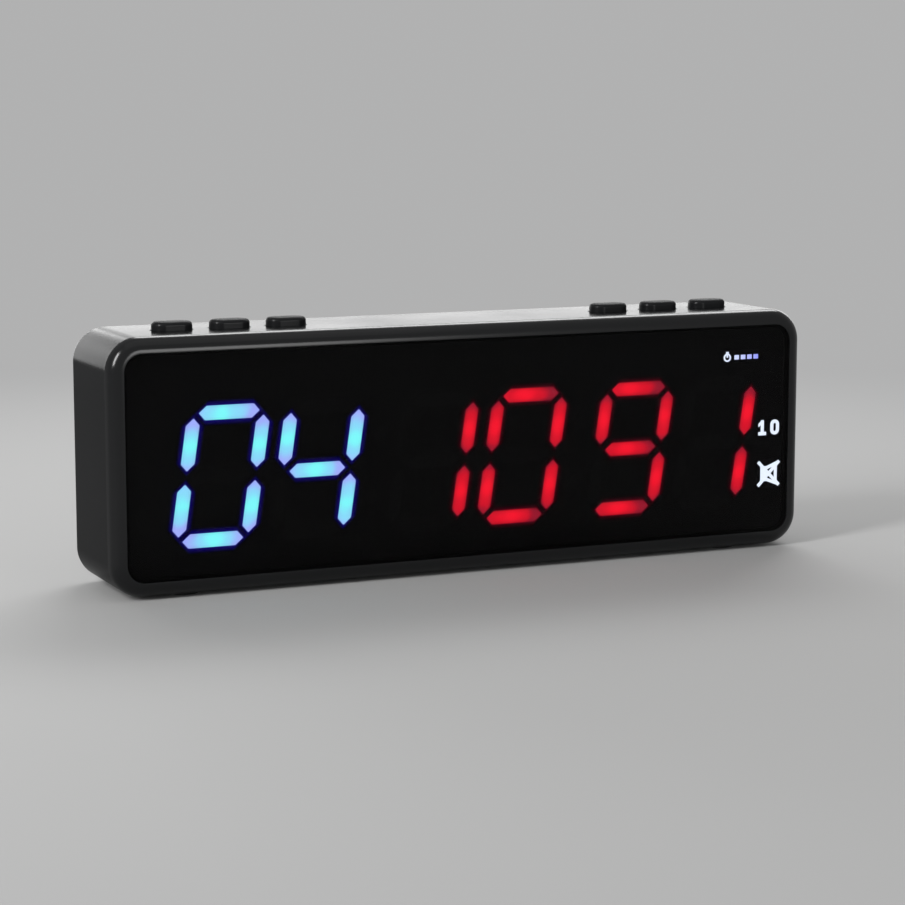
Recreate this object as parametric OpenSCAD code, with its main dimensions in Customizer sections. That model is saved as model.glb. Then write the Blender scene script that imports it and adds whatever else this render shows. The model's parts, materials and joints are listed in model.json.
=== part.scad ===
// Portable interval timer: a long rounded case with a smoked window, six slanted
// seven-segment figures behind it and two rows of three push keys on the top.
// X runs left to right, Y from the front to the back and Z up. The origin is on the
// surface that the timer stands on, under the middle of the case.

/* [Case] */
// Width of the case, left to right
body_w = 246; // [242:1:300]
// Height of the case without its feet
body_h = 81.2; // [79:0.2:100]
// Depth of the case, front to back
body_d = 39.5; // [38:0.5:55]
// Radius of the four long corners
corner_r = 10.8; // [9.6:0.2:14]
// Rounding of the front edge
edge_r = 4.6; // [2:0.1:4.8]
// Rounding of the rear edge
rear_edge_r = 0.9; // [0.4:0.1:1]
// Thickness of the case walls
wall = 2.6; // [2.4:0.1:3]
// Radius of the screw bosses inside the case
boss_r = 2.8; // [2.6:0.1:3]

/* [Window] */
// Width of the rounded frame around the window
bezel_w = 5; // [4.9:0.1:6]
// Thickness of the window
lens_t = 2; // [1.5:0.1:3]
// Gap around the window
lens_gap = 0.12; // [0.05:0.01:0.3]
// Thickness of the tape under the window
tape_t = 0.3; // [0.2:0.05:0.6]
// Width of the ledge that the window is taped to
ledge_w = 1; // [0.8:0.1:1.2]
// Thickness of that ledge
ledge_t = 1.5; // [1.2:0.1:2]

/* [Figures] */
// The six figures that are lit
shown = "041091"; // 6
// Distance of the top bars' middle line from the top of the case
figure_top_gap = 24.5; // [23:0.1:27]
// Distance of the bottom bars' middle line from the bottom of the case
figure_foot_gap = 16.7; // [15.5:0.1:19]
// Distance of the first figure's middle from the left end of the case
figure_left_gap = 36.3; // [34:0.1:40]
// Distance of the last figure's middle from the right end of the case
figure_right_gap = 33.1; // [32:0.1:36]
// Space between two figures of a pair, between the middles of their bars
figure_space = 9.2; // [8:0.1:12]
// Further space between two pairs
pair_space = 7.8; // [7:0.1:9]
// Thickness of a bar
bar_t = 4.5; // [3.8:0.1:5.2]
// Gap at the tip of a bar, along the stroke
tip_gap = 1.5; // [1:0.05:2]
// Gap at a tip beside the middle bar
waist_gap = 2.05; // [1.5:0.05:2.6]
// Sideways lean of the figures for each millimetre of height
lean = 0.15; // [0:0.01:0.2]
// Radius of a colon dot
dot_r = 2.4; // [1.5:0.1:2.6]

/* [Signs] */
// Size of the pictogram strip above the last figure
strip_w = 13.4; // [10:0.1:14]
// Height of that strip
strip_h = 3.4; // [2.6:0.1:4]
// Height of the small number
number_h = 5.2; // [4:0.1:6]
// Height of the silent-mode pictogram
mute_h = 9.4; // [7:0.1:10]
// Width of the windows under the small number and the pictogram
sign_w = 9.2; // [8.4:0.1:9.4]

/* [Light box] */
// Depth of the light box behind the window
box_depth = 8; // [6:0.1:9]
// Thickness of its face
face_t = 1.2; // [1:0.1:1.4]
// Thickness of the light diffusers in its face
diffuser_t = 2; // [1.5:0.1:3]
// Gap around a diffuser
diffuser_gap = 0.05; // [0.02:0.01:0.1]
// Thickness of the circuit boards
board_t = 1.6; // [1:0.1:2]

/* [Keys] */
// Length of a key
key_l = 13.2; // [11:0.1:14]
// Width of a key
key_b = 8; // [6:0.1:9]
// Height of a key above the case
key_h = 2.85; // [1.5:0.05:4]
// Rounding of a key's top edge
key_edge_r = 1.25; // [0.4:0.05:1.5]
// Distance between neighbouring keys
key_pitch = 19.1; // [18:0.1:20]
// Distance of the middle key of each three from the end of the case
key_inset = 45.8; // [43:0.1:53]
// How far a key goes down
key_travel = 0.8; // [0.3:0.05:1]
// Gap around a key in the case
key_gap = 0.3; // [0.2:0.05:0.5]
// Width of the rim that keeps a key in
key_rim_w = 1.4; // [1:0.1:1.6]
// Thickness of that rim
key_rim_t = 1.4; // [1:0.1:2]
// Side of a key switch
switch_side = 6; // [5:0.1:6.5]
// Height of a key switch
switch_h = 3.8; // [3.4:0.1:5]
// Radius of a switch plunger
plunger_r = 1.7; // [1.2:0.05:1.9]

/* [Rear] */
// Thickness of the rear cover
cover_t = 2.4; // [2.2:0.1:3]
// Gap around the rear cover
cover_gap = 0.15; // [0.1:0.05:0.3]
// Diameter of a holding magnet
magnet_d = 18; // [12:0.5:20]
// Thickness of a holding magnet
magnet_t = 3; // [2:0.1:4]
// Distance of the magnets from the ends of the case
magnet_inset = 21; // [19:0.5:24]
// Distance of the upper and lower magnets from each other
magnet_rise = 38; // [30:0.5:40]
// Distance of the charging socket from the right end of the case
socket_inset = 61; // [53:1:66]
// Radius of a hole of the sound grille
sound_hole_r = 0.8; // [0.5:0.05:1]

/* [Base] */
// Height of the feet under the case
foot_h = 0.8; // [0.5:0.1:2]
// Diameter of a foot
foot_d = 10; // [7:0.5:11]
// Distance of the feet from the ends of the case
foot_inset = 26; // [18:1:40]
// Radius of the stand thread's hole, for a quarter-inch camera screw
stand_hole_r = 2.6; // [2.4:0.05:2.8]
// Length of the threaded insert
stand_insert_l = 9; // [7:0.5:11]

/* [Battery] */
// Diameter of a cell
cell_d = 18.4; // [14:0.1:18.6]
// Length of a cell
cell_l = 65; // [50:0.5:68]
// Height of the lower cell's middle above the surface
cell_z = 24; // [20:0.5:26]

/* [Hidden] */
$fn = 64;
// Small overlap that lets a cut pass a face
over = 1;

// Heights and depths that the pieces share. Depths are counted from the front.
case_top = foot_h + body_h;
case_mid = foot_h + body_h / 2;
tape_y = lens_t;
ledge_y = tape_y + tape_t;
boss_y = ledge_y + ledge_t;
face_set = 0.5;
face_y = lens_t + face_set;
face_gap = 0.25;
board_y = face_y + box_depth;
board_back = board_y + board_t;
cover_y = body_d - cover_t;
key_y = body_d / 2;

// Screws
screw_r = 1.3;
screw_fit = 0.05;
head_r = 2.4;
head_h = 1.3;
head_gap = 0.2;
recess_l = 2.6;
recess_w = 0.6;
recess_d = 0.7;
cover_screw_l = 9;
board_screw_l = 5.5;
key_screw_l = 5;
head_seat = 1.1;

// Rear rebate, window and light box outlines
rebate_w = 1.3;
lens_w = body_w - 2 * bezel_w - 2 * lens_gap;
lens_h = body_h - 2 * bezel_w - 2 * lens_gap;
lens_r = corner_r - bezel_w - lens_gap;
frame_in = bezel_w + ledge_w;
face_w = body_w - 2 * frame_in - 2 * face_gap;
face_h = body_h - 2 * frame_in - 2 * face_gap;
face_r = corner_r - frame_in - face_gap;
boss_sink = 0.4;
boss_in = wall + boss_r - boss_sink;
corner_in = corner_r - (corner_r - boss_in) / sqrt(2);
box_gap = 0.5;
box_h = body_h - 2 * (corner_in + boss_r + box_gap);
board_gap = 0.4;

// Places of the screws, seen from the front, from the middle of the case
corner_screw_x = body_w / 2 - corner_in;
corner_screw_rise = body_h / 2 - corner_in;
screw_spaces = 3;
mid_screw_x = corner_screw_x / screw_spaces;
screw_rise = body_h / 2 - boss_in;
cover_screws_at = [
    for (sx = [-1, 1], sz = [-1, 1], p = [[corner_screw_x, corner_screw_rise], [mid_screw_x, screw_rise]])
        [sx * p[0], sz * p[1]]
];
boss_step = 6;
board_screw_x = corner_screw_x - 2 * boss_r - boss_step;
board_screws_at = [for (x = [-board_screw_x, board_screw_x], s = [-1, 1]) [x, s * screw_rise]];

// Figures: each bar has a letter, in the usual order
bars = "abcdefg";
digits = "0123456789";
bars_of = ["abcdef", "bc", "abdeg", "abcdg", "bcfg", "acdfg", "acdefg", "abc", "abcdefg", "abcdfg"];
blue_figures = [0, 1];
red_figures = [2, 3, 4, 5];
last_figure = len(shown) - 1;
pair_gaps = 2;
figure_h = body_h - figure_top_gap - figure_foot_gap;
figure_z = foot_h + figure_foot_gap + figure_h / 2;
row_l = body_w - figure_left_gap - figure_right_gap;
figure_pitch = (row_l - pair_gaps * pair_space) / last_figure;
figure_w = figure_pitch - figure_space;
figure_x = [
    for (i = [0:last_figure]) figure_left_gap - body_w / 2 + i * figure_pitch + floor(i / 2) * pair_space
];
flat_l = figure_w - 2 * tip_gap;
waist_l = figure_w - 2 * waist_gap;
upright_l = figure_h / 2 - tip_gap - waist_gap;
upright_z = figure_h / 4 + (waist_gap - tip_gap) / 2;
led_w = 1.6;
led_h = 0.8;
dot_z = figure_h / 4;
dot_x = [(figure_x[1] + figure_x[2]) / 2, (figure_x[3] + figure_x[4]) / 2];

// Signs beside the figures
sign_t = 0.2;
sign_edge = 0.5;
sign_margin = 0.4;
sign_x = face_w / 2 - sign_edge - sign_w / 2;
strip_shift = 11.7;
strip_rise = 6.8;
number_rise = 4;
mute_drop = 12;
strip_x = sign_x - strip_shift;
strip_z = figure_z + figure_h / 2 + bar_t / 2 + strip_rise;
number_z = figure_z + number_rise;
mute_z = figure_z - mute_drop;
sign_boxes = [
    [strip_x, strip_z, strip_w + 2 * sign_margin, strip_h + 2 * sign_margin],
    [sign_x, number_z, sign_w, number_h + 2 * sign_margin],
    [sign_x, mute_z, sign_w, mute_h + 2 * sign_margin]
];

// Keys and switches, from the top down
key_n = 6;
key_group_x = body_w / 2 - key_inset;
key_x = [for (s = [-1, 1], i = [-1:1]) s * key_group_x + i * key_pitch];
rim_gap = 0.1;
rim_top = case_top - wall - rim_gap;
rim_z = rim_top - key_rim_t;
stem_r = 1.6;
stem_l = 2;
plunger_top = rim_z - stem_l;
plunger_spare = 0.4;
plunger_out = key_travel + plunger_spare;
plunger_in = 1.6;
plunger_gap = 0.1;
switch_top = plunger_top - plunger_out;
switch_z = switch_top - switch_h;
key_board_z = switch_z - board_t;
key_post_r = 2.4;
key_post_gap = 0.6;
key_post_x = key_pitch + key_l / 2 + key_rim_w + key_post_r + key_post_gap;
key_board_l = 2 * (key_post_x + key_post_r + key_post_gap);
key_board_b = 10;

// Rear cover fittings
magnet_gap = 0.2;
magnet_sink = 1;
fence_t = 1.2;
fence_h = 1.8;
magnets_at = [for (sx = [-1, 1], sz = [-1, 1]) [sx * (body_w / 2 - magnet_inset), sz * magnet_rise / 2]];
sound_inset = 93;
sound_rise = 4;
sound_x = body_w / 2 - sound_inset;
sound_z = case_mid + sound_rise;
sound_ring_r = 3.4;
sound_ring_n = 6;

// Battery
cell_gap = 0.2;
cell_seat = 0.6;
cell_web = 1.6;
cell_y = cover_y - cell_d / 2 - cell_seat;
cells_z = [cell_z, cell_z + cell_d + 2 * cell_gap + cell_web];
pack_gap = 1;
battery_x = body_w / 2 - magnet_inset - magnet_d / 2 - magnet_gap - fence_t - pack_gap - cell_l / 2;
pole_r = 3;
pole_l = 0.8;
tab_t = 0.2;
tab_w = 7;
tab_over = 4;
cradle_t = 3;
cradle_inset = 12.5;
cradle_span = cell_l - 2 * cradle_inset;
cradle_grip = 3.5;
cradle_edge = 1.6;
pack_end = -battery_x + cell_l / 2 + pole_l + tab_t;
pack_start = -battery_x - cell_l / 2 - tab_t;
wire_r = 0.8;
wire_out = 2.5;
plug_w = 8;
plug_h = 6;
plug_l = 6;
plug_step = 10;
plug_x = pack_end + plug_step;
plug_z = (cells_z[0] + cells_z[1]) / 2;
wire_lane = (board_back + cell_y - cell_d / 2) / 2;

// Charging socket on its own small board
charge_w = 22;
charge_l = 20;
charge_gap = 0.2;
rail_w = 3;
rail_short = 4;
rail_h = 5;
rail_clear = 0.6;
charge_z = foot_h + boss_in + boss_r + rail_clear + (rail_h - board_t) / 2;
socket_x = body_w / 2 - socket_inset;
groove = 1.2;
groove_gap = 0.1;
socket_w = 8.94;
socket_h = 3.26;
socket_l = 8;
socket_r = 1.3;
socket_wall = 0.3;
socket_floor = 1.4;
socket_sink = 0.3;
socket_gap = 0.3;
socket_z = charge_z + board_t + socket_h / 2;
tongue_w = 6.7;
tongue_t = 0.7;
tongue_l = 5;

// Parts on the back of the display board
chip_w = 10;
chip_t = 1.4;
chip_inset = 71;
chip_x = body_w / 2 - chip_inset;
chip_z = case_mid;
radio_w = 18;
radio_h = 12;
radio_t = 2.4;
radio_inset = 35;
radio_x = body_w / 2 - radio_inset;
radio_rise = 12;
radio_z = case_mid + radio_rise;
buzzer_r = 6;
buzzer_l = 9;
buzzer_port_r = 1.2;
buzzer_port_l = 2;

// Flat cables
ribbon_w = 10;
ribbon_t = 0.3;
ribbon_lap = 5;
ribbon_drop = 9;

// Base
foot_sink = 0.8;
foot_fit = 0.05;
foot_edge = 0.6;
foot_y = edge_r + foot_edge + foot_d / 2;
insert_r = 4.6;
insert_fit = 0.02;
insert_wall = 1.6;
insert_boss_r = insert_r + insert_wall;
insert_roof = 2;

// Turns a drawing of the front, with its depth upwards, into the standing case
module as_front() {
    translate([0, -body_d / 2, 0]) rotate([90, 0, 0]) mirror([0, 0, 1]) children();
}

// The same, with the drawing's origin in the middle of the case
module as_case() {
    as_front() translate([0, case_mid, 0]) children();
}

module rounded_rect(w, h, r) {
    square([w - 2 * r, h], center = true);
    square([w, h - 2 * r], center = true);
    for (sx = [-1, 1], sy = [-1, 1]) translate([sx * (w / 2 - r), sy * (h / 2 - r)]) circle(r);
}

module slot_2d(l, b) {
    square([l - b, b], center = true);
    for (s = [-1, 1]) translate([s * (l - b) / 2, 0]) circle(d = b);
}

// Sweeps a wall section round the case: the section's x is the distance from a corner's axis
module around_case(w, h, r) {
    for (turn = [0, 180]) {
        rotate(turn) translate([w / 2 - r, 0, 0]) wall_run(h - 2 * r) children();
        rotate(turn + 90) translate([h / 2 - r, 0, 0]) wall_run(w - 2 * r) children();
    }
    for (i = [0:3]) {
        sx = i == 0 || i == 3 ? 1 : -1;
        sy = i < 2 ? 1 : -1;
        translate([sx * (w / 2 - r), sy * (h / 2 - r), 0]) rotate(i * 90)
            rotate_extrude(angle = 90) children();
    }
}

module wall_run(length) {
    rotate([90, 0, 0]) linear_extrude(height = length, center = true) children();
}

// A convex quarter round to cut from a section's corner at the origin, with the metal at -x and +y
module round_off(r) {
    difference() {
        translate([-r, -over]) square([r + over, r + over]);
        translate([-r, r]) circle(r);
    }
}

module wall_section() {
    difference() {
        union() {
            translate([corner_r - wall, 0]) square([wall, body_d]);
            translate([corner_r - bezel_w, 0]) square([bezel_w, boss_y]);
            translate([corner_r - frame_in, ledge_y]) square([frame_in, ledge_t]);
        }
        translate([corner_r, 0]) round_off(edge_r);
        translate([corner_r, body_d]) mirror([0, 1]) round_off(rear_edge_r);
        translate([corner_r - wall - over, cover_y]) square([rebate_w + over, cover_t + over]);
    }
}

module screw(length) {
    difference() {
        union() {
            cylinder(r = head_r, h = head_h);
            translate([0, 0, -length]) cylinder(r = screw_r, h = length + over / 2);
        }
        for (a = [0, 90]) rotate(a) translate([-recess_l / 2, -recess_w / 2, head_h - recess_d])
            cube([recess_l, recess_w, recess_d + over]);
    }
}

module bosses(places, top) {
    for (p = places) translate([p[0], p[1], boss_y]) cylinder(r = boss_r, h = top - boss_y);
}

module boss_holes(places, top, hole_l) {
    for (p = places) translate([p[0], p[1], top - hole_l])
        cylinder(r = screw_r + screw_fit, h = hole_l + over);
}

module key_post_places() {
    for (s = [-1, 1], e = [-1, 1])
        translate([s * key_group_x + e * key_post_x, key_y - body_d / 2, 0]) children();
}

module foot_places() {
    for (sx = [-1, 1], sy = [-1, 1])
        translate([sx * (body_w / 2 - foot_inset), sy * (body_d / 2 - foot_y), 0]) children();
}

module front_housing() {
    boss_hole = cover_screw_l - cover_t + head_seat + over;
    board_hole = board_screw_l - board_t + over;
    key_hole = key_screw_l - board_t + over;
    post_l = case_top - wall / 2 - switch_z;
    color("#3a3c3f") difference() {
        union() {
            as_case() around_case(body_w, body_h, corner_r) wall_section();
            as_case() bosses(cover_screws_at, cover_y);
            as_case() bosses(board_screws_at, board_y);
            key_post_places() translate([0, 0, switch_z]) cylinder(r = key_post_r, h = post_l);
            translate([0, 0, foot_h + wall / 2])
                cylinder(r = insert_boss_r, h = stand_insert_l + insert_roof - wall / 2);
        }
        for (x = key_x) translate([x, key_y - body_d / 2, case_top - wall - over])
            linear_extrude(height = wall + 2 * over) slot_2d(key_l + 2 * key_gap, key_b + 2 * key_gap);
        as_case() boss_holes(cover_screws_at, cover_y, boss_hole);
        as_case() boss_holes(board_screws_at, board_y, board_hole);
        key_post_places() translate([0, 0, switch_z - over])
            cylinder(r = screw_r + screw_fit, h = key_hole + over);
        foot_places() translate([0, 0, foot_h - over])
            cylinder(d = foot_d + 2 * foot_fit, h = foot_sink + over);
        translate([0, 0, foot_h - over]) cylinder(r = insert_r + insert_fit, h = stand_insert_l + over);
    }
}

module display_lens() {
    color("#0b0c0e", 0.5) as_case() linear_extrude(height = lens_t) rounded_rect(lens_w, lens_h, lens_r);
}

module tape_section() {
    translate([corner_r - frame_in, tape_y]) square([ledge_w - lens_gap, tape_t]);
}

module lens_tape() {
    color("#141414") as_case() around_case(body_w, body_h, corner_r) tape_section();
}

module charge_rail() {
    rail_l = charge_l - rail_short;
    difference() {
        translate([0, -rail_h / 2, -rail_l]) cube([rail_w, rail_h, rail_l + cover_t / 2]);
        translate([-over, -board_t / 2 - groove_gap, -rail_l - over])
            cube([groove + groove_gap + over, board_t + 2 * groove_gap, rail_l + over]);
    }
}

module cradle_rib() {
    rib_z = cells_z[0] - cell_d / 2 - cradle_edge;
    rib_h = cells_z[1] - cells_z[0] + cell_d + 2 * cradle_edge;
    rib_y = cell_y - cradle_grip;
    difference() {
        translate([-cradle_t / 2, rib_z, rib_y]) cube([cradle_t, rib_h, cover_y + cover_t / 2 - rib_y]);
        for (z = cells_z) translate([-cradle_t, z, cell_y]) rotate([0, 90, 0])
            cylinder(r = cell_d / 2 + cell_gap, h = 2 * cradle_t);
    }
}

module rear_cover() {
    cover_in = wall - rebate_w + cover_gap;
    color("#323437") difference() {
        union() {
            as_case() translate([0, 0, cover_y]) linear_extrude(height = cover_t)
                rounded_rect(body_w - 2 * cover_in, body_h - 2 * cover_in, corner_r - cover_in);
            as_case() for (p = magnets_at) translate([p[0], p[1], cover_y - fence_h])
                cylinder(d = magnet_d + 2 * magnet_gap + 2 * fence_t, h = fence_h + cover_t / 2);
            as_front() for (s = [-1, 1]) translate([s * cradle_span / 2 - battery_x, 0, 0]) cradle_rib();
            as_front() translate([socket_x, charge_z + board_t / 2, cover_y]) for (m = [0, 1])
                mirror([m, 0, 0]) translate([charge_w / 2 - groove, 0, 0]) charge_rail();
        }
        as_case() for (p = cover_screws_at) translate([p[0], p[1], cover_y - over]) {
            cylinder(r = screw_r + head_gap, h = cover_t + 2 * over);
            translate([0, 0, over + head_seat]) cylinder(r = head_r + head_gap, h = cover_t + over);
        }
        as_case() for (p = magnets_at) translate([p[0], p[1], cover_y - fence_h - over])
            cylinder(d = magnet_d + 2 * magnet_gap, h = fence_h + over + magnet_sink);
        as_front() translate([socket_x, socket_z, cover_y - over]) linear_extrude(height = cover_t + 2 * over)
            rounded_rect(socket_w + 2 * socket_gap, socket_h + 2 * socket_gap, socket_r + socket_gap);
        as_front() translate([sound_x, sound_z, cover_y - over]) {
            cylinder(r = sound_hole_r, h = cover_t + 2 * over);
            for (i = [1:sound_ring_n]) rotate(i * 360 / sound_ring_n) translate([sound_ring_r, 0, 0])
                cylinder(r = sound_hole_r, h = cover_t + 2 * over);
        }
    }
}

module cover_screws() {
    color("silver") as_case() for (p = cover_screws_at)
        translate([p[0], p[1], cover_y + head_seat]) screw(cover_screw_l);
}

module rubber_feet() {
    color("#181818") foot_places() cylinder(d = foot_d, h = foot_h + foot_sink);
}

module stand_insert() {
    color("goldenrod") translate([0, 0, foot_h]) difference() {
        cylinder(r = insert_r, h = stand_insert_l);
        translate([0, 0, -over]) cylinder(r = stand_hole_r, h = stand_insert_l + 2 * over);
    }
}

module magnets() {
    color("#b8bcc0") as_case() for (p = magnets_at) translate([p[0], p[1], cover_y + magnet_sink - magnet_t])
        cylinder(d = magnet_d, h = magnet_t);
}

// One bar: a long hexagon with square points, leaned with the figure
function bar_outline(length, grow) = let (h = bar_t / 2 + grow, l = length / 2 + grow * sqrt(2))
    [[-l, 0], [h - l, h], [l - h, h], [l, 0], [l - h, -h], [h - l, -h]];
function bar_upright(b) = b == "b" || b == "c" || b == "e" || b == "f";
function bar_length(b) = bar_upright(b) ? upright_l : b == "g" ? waist_l : flat_l;
function bar_x(b) = b == "b" || b == "c" ? figure_w / 2 : bar_upright(b) ? -figure_w / 2 : 0;
function bar_z(b) = b == "a" ? figure_h / 2 : b == "d" ? -figure_h / 2 : b == "g" ? 0
    : b == "b" || b == "f" ? upright_z : -upright_z;
function leaned(p) = [p[0] + lean * p[1], p[1]];
function turned(b, p) = bar_upright(b) ? [p[1], p[0]] : p;
function bar_point(b, p) = leaned([bar_x(b), bar_z(b)] + turned(b, p));
function is_lit(i, b) = len(search(b, bars_of[search(shown[i], digits)[0]])) > 0;

module bar_2d(i, b, grow) {
    translate([figure_x[i], figure_z]) polygon([for (p = bar_outline(bar_length(b), grow)) bar_point(b, p)]);
}

module bars_at(figures, lit) {
    as_front() translate([0, 0, face_y]) linear_extrude(height = diffuser_t)
        for (i = figures, b = bars) if (is_lit(i, b) == lit) bar_2d(i, b, 0);
}

module dot_places() {
    for (x = dot_x, s = [-1, 1]) translate([x + lean * s * dot_z, figure_z + s * dot_z, 0]) children();
}

module light_box() {
    color("#101113") difference() {
        union() {
            as_case() translate([0, 0, face_y]) linear_extrude(height = face_t)
                rounded_rect(face_w, face_h, face_r);
            as_case() translate([0, 0, face_y]) linear_extrude(height = box_depth)
                rounded_rect(face_w, box_h, face_r);
        }
        as_front() translate([0, 0, face_y - over]) {
            linear_extrude(height = box_depth + 2 * over) {
                for (i = [0:last_figure], b = bars) bar_2d(i, b, diffuser_gap);
                for (s = sign_boxes) translate([s[0], s[1]])
                    square([s[2] + 2 * diffuser_gap, s[3] + 2 * diffuser_gap], center = true);
            }
            dot_places() cylinder(r = dot_r + diffuser_gap, h = box_depth + 2 * over);
        }
    }
}

module blue_segments() {
    color("#8fe6ff") bars_at(blue_figures, true);
}

module red_segments() {
    color("#ff2036") bars_at(red_figures, true);
}

module unlit_segments() {
    color("#1c1d20") bars_at(concat(blue_figures, red_figures), false);
}

module colon_dots() {
    color("#1c1d20") as_front() translate([0, 0, face_y]) dot_places() cylinder(r = dot_r, h = diffuser_t);
}

module sign_windows() {
    color("#1c1d20") as_front() translate([0, 0, face_y]) linear_extrude(height = diffuser_t)
        for (s = sign_boxes) translate([s[0], s[1]]) square([s[2], s[3]], center = true);
}

// A small dial with its crown and hand, followed by a row of short bars
module strip_symbol() {
    crown_h = 0.6;
    line = 0.5;
    dial_r = (strip_h - crown_h) / 2;
    bar_n = 4;
    bar_gap = 0.8;
    bar_h = 1.5;
    bars_x = 3 * dial_r - strip_w / 2;
    step = (strip_w / 2 - bars_x + bar_gap) / bar_n;
    translate([dial_r - strip_w / 2, dial_r - strip_h / 2]) {
        difference() {
            circle(dial_r);
            circle(dial_r - line);
        }
        translate([-line / 2, 0]) square([line, dial_r - line / 2]);
        translate([-line, dial_r - line / 2]) square([2 * line, crown_h + line / 2]);
    }
    for (i = [0:bar_n - 1]) translate([bars_x + i * step, -strip_h / 2 + dial_r - bar_h / 2])
        square([step - bar_gap, bar_h]);
}

// The plain number ten
module number_symbol() {
    line = 1.15;
    flag = 1.5;
    zero_w = 3.4;
    space = 1;
    one_x = -(zero_w + space + line) / 2;
    translate([one_x - line / 2, -number_h / 2]) square([line, number_h]);
    translate([one_x, number_h / 2 - line]) polygon([[0, line], [0, 0], [-flag, -line], [-flag, 0]]);
    translate([one_x - flag, -number_h / 2]) square([2 * flag, line]);
    translate([space + line, 0]) rotate(90) difference() {
        slot_2d(number_h, zero_w);
        slot_2d(number_h - 2 * line, zero_w - 2 * line);
    }
}

// A loudspeaker with an open cone, crossed out by two bars
module mute_symbol() {
    half = mute_h / 2;
    line = 1.1;
    flare = 0.38;
    back_x = 3.2;
    neck_x = 0.8;
    neck_z = 2.6;
    mouth_x = (half - line / 2 - neck_z) / flare - neck_x;
    cone_z = neck_z - line * sqrt(1 + flare * flare);
    difference() {
        polygon([
            [-back_x, -neck_z], [-neck_x, -neck_z], [mouth_x, line / 2 - half],
            [mouth_x, half - line / 2], [-neck_x, neck_z], [-back_x, neck_z]
        ]);
        polygon([
            [-neck_x, -cone_z], [mouth_x - line, -cone_z - flare * (mouth_x - line + neck_x)],
            [mouth_x - line, cone_z + flare * (mouth_x - line + neck_x)], [-neck_x, cone_z]
        ]);
    }
    for (a = [-1, 1]) rotate(a * 45) square([sqrt(2) * (mute_h - line), line], center = true);
}

module sign_symbols() {
    color("white") as_front() translate([0, 0, face_y - sign_t]) linear_extrude(height = sign_t) {
        translate([strip_x, strip_z]) strip_symbol();
        translate([sign_x, number_z]) number_symbol();
        translate([sign_x, mute_z]) mute_symbol();
    }
}

module display_board() {
    board_in = wall + board_gap;
    color("#1d4a33") as_case() translate([0, 0, board_y]) difference() {
        linear_extrude(height = board_t)
            rounded_rect(body_w - 2 * board_in, body_h - 2 * board_in, corner_r - board_in);
        for (p = cover_screws_at) translate([p[0], p[1], -over])
            cylinder(r = boss_r + board_gap, h = board_t + 2 * over);
        for (p = board_screws_at) translate([p[0], p[1], -over])
            cylinder(r = screw_r + head_gap, h = board_t + 2 * over);
    }
}

module board_screws() {
    color("silver") as_case() for (p = board_screws_at)
        translate([p[0], p[1], board_back]) screw(board_screw_l);
}

// Two chips behind each bar
module leds_at(figures) {
    as_front() for (i = figures, b = bars, s = [-1, 1]) {
        p = bar_point(b, [s * bar_length(b) / 4, 0]);
        translate([figure_x[i] + p[0] - led_w / 2, figure_z + p[1] - led_w / 2, board_y - led_h])
            cube([led_w, led_w, led_h]);
    }
}

module blue_leds() {
    color("#dff2ff") leds_at(blue_figures);
}

module red_leds() {
    color("#ffd9d2") leds_at(red_figures);
}

module sign_leds() {
    color("#fff6dd") as_front() translate([0, 0, board_y - led_h]) {
        for (s = sign_boxes) translate([s[0] - led_w / 2, s[1] - led_w / 2, 0]) cube([led_w, led_w, led_h]);
        dot_places() translate([-led_w / 2, -led_w / 2, 0]) cube([led_w, led_w, led_h]);
    }
}

module controller_chip() {
    color("#202020") as_front() translate([chip_x - chip_w / 2, chip_z - chip_w / 2, board_back])
        cube([chip_w, chip_w, chip_t]);
}

module radio_module() {
    color("#c9ccd0") as_front() translate([radio_x - radio_w / 2, radio_z - radio_h / 2, board_back])
        cube([radio_w, radio_h, radio_t]);
}

module buzzer() {
    color("#161616") as_front() translate([sound_x, sound_z, board_back]) difference() {
        cylinder(r = buzzer_r, h = buzzer_l);
        translate([0, 0, buzzer_l - buzzer_port_l]) cylinder(r = buzzer_port_r, h = buzzer_port_l + over);
    }
}

// Half of a key's section, from its middle line outwards
module key_half_section() {
    translate([0, rim_z]) square([key_b / 2 + key_rim_w, key_rim_t]);
    difference() {
        translate([0, rim_z]) square([key_b / 2, case_top + key_h - rim_z]);
        translate([key_b / 2, case_top + key_h]) mirror([0, 1]) round_off(key_edge_r);
    }
}

module key_cap(i) {
    run = key_l - key_b;
    color("#17181a") translate([key_x[i - 1], key_y - body_d / 2, 0]) {
        for (s = [-1, 1]) translate([s * run / 2, 0, 0]) rotate(-s * 90)
            rotate_extrude(angle = 180) key_half_section();
        for (m = [0, 1]) mirror([0, m, 0]) rotate([90, 0, 90])
            linear_extrude(height = run, center = true) key_half_section();
        translate([0, 0, plunger_top]) cylinder(r = stem_r, h = stem_l + key_rim_t / 2);
    }
}

module switch_plunger(i) {
    color("#2a2a2a") translate([key_x[i - 1], key_y - body_d / 2, switch_top - plunger_in])
        cylinder(r = plunger_r, h = plunger_in + plunger_out);
}

module key_switches() {
    bore_l = plunger_in + plunger_out;
    color("#3c3c3c") for (x = key_x) translate([x, key_y - body_d / 2, switch_z]) difference() {
        translate([-switch_side / 2, -switch_side / 2, 0]) cube([switch_side, switch_side, switch_h]);
        translate([0, 0, switch_h - bore_l]) cylinder(r = plunger_r + plunger_gap, h = bore_l + over);
    }
}

module key_boards() {
    color("#1d4a33") difference() {
        for (s = [-1, 1])
            translate([s * key_group_x - key_board_l / 2, key_y - (body_d + key_board_b) / 2, key_board_z])
                cube([key_board_l, key_board_b, board_t]);
        key_post_places() translate([0, 0, key_board_z - over])
            cylinder(r = screw_r + head_gap, h = board_t + 2 * over);
    }
}

module key_board_screws() {
    color("silver") key_post_places() translate([0, 0, key_board_z]) mirror([0, 0, 1]) screw(key_screw_l);
}

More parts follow.
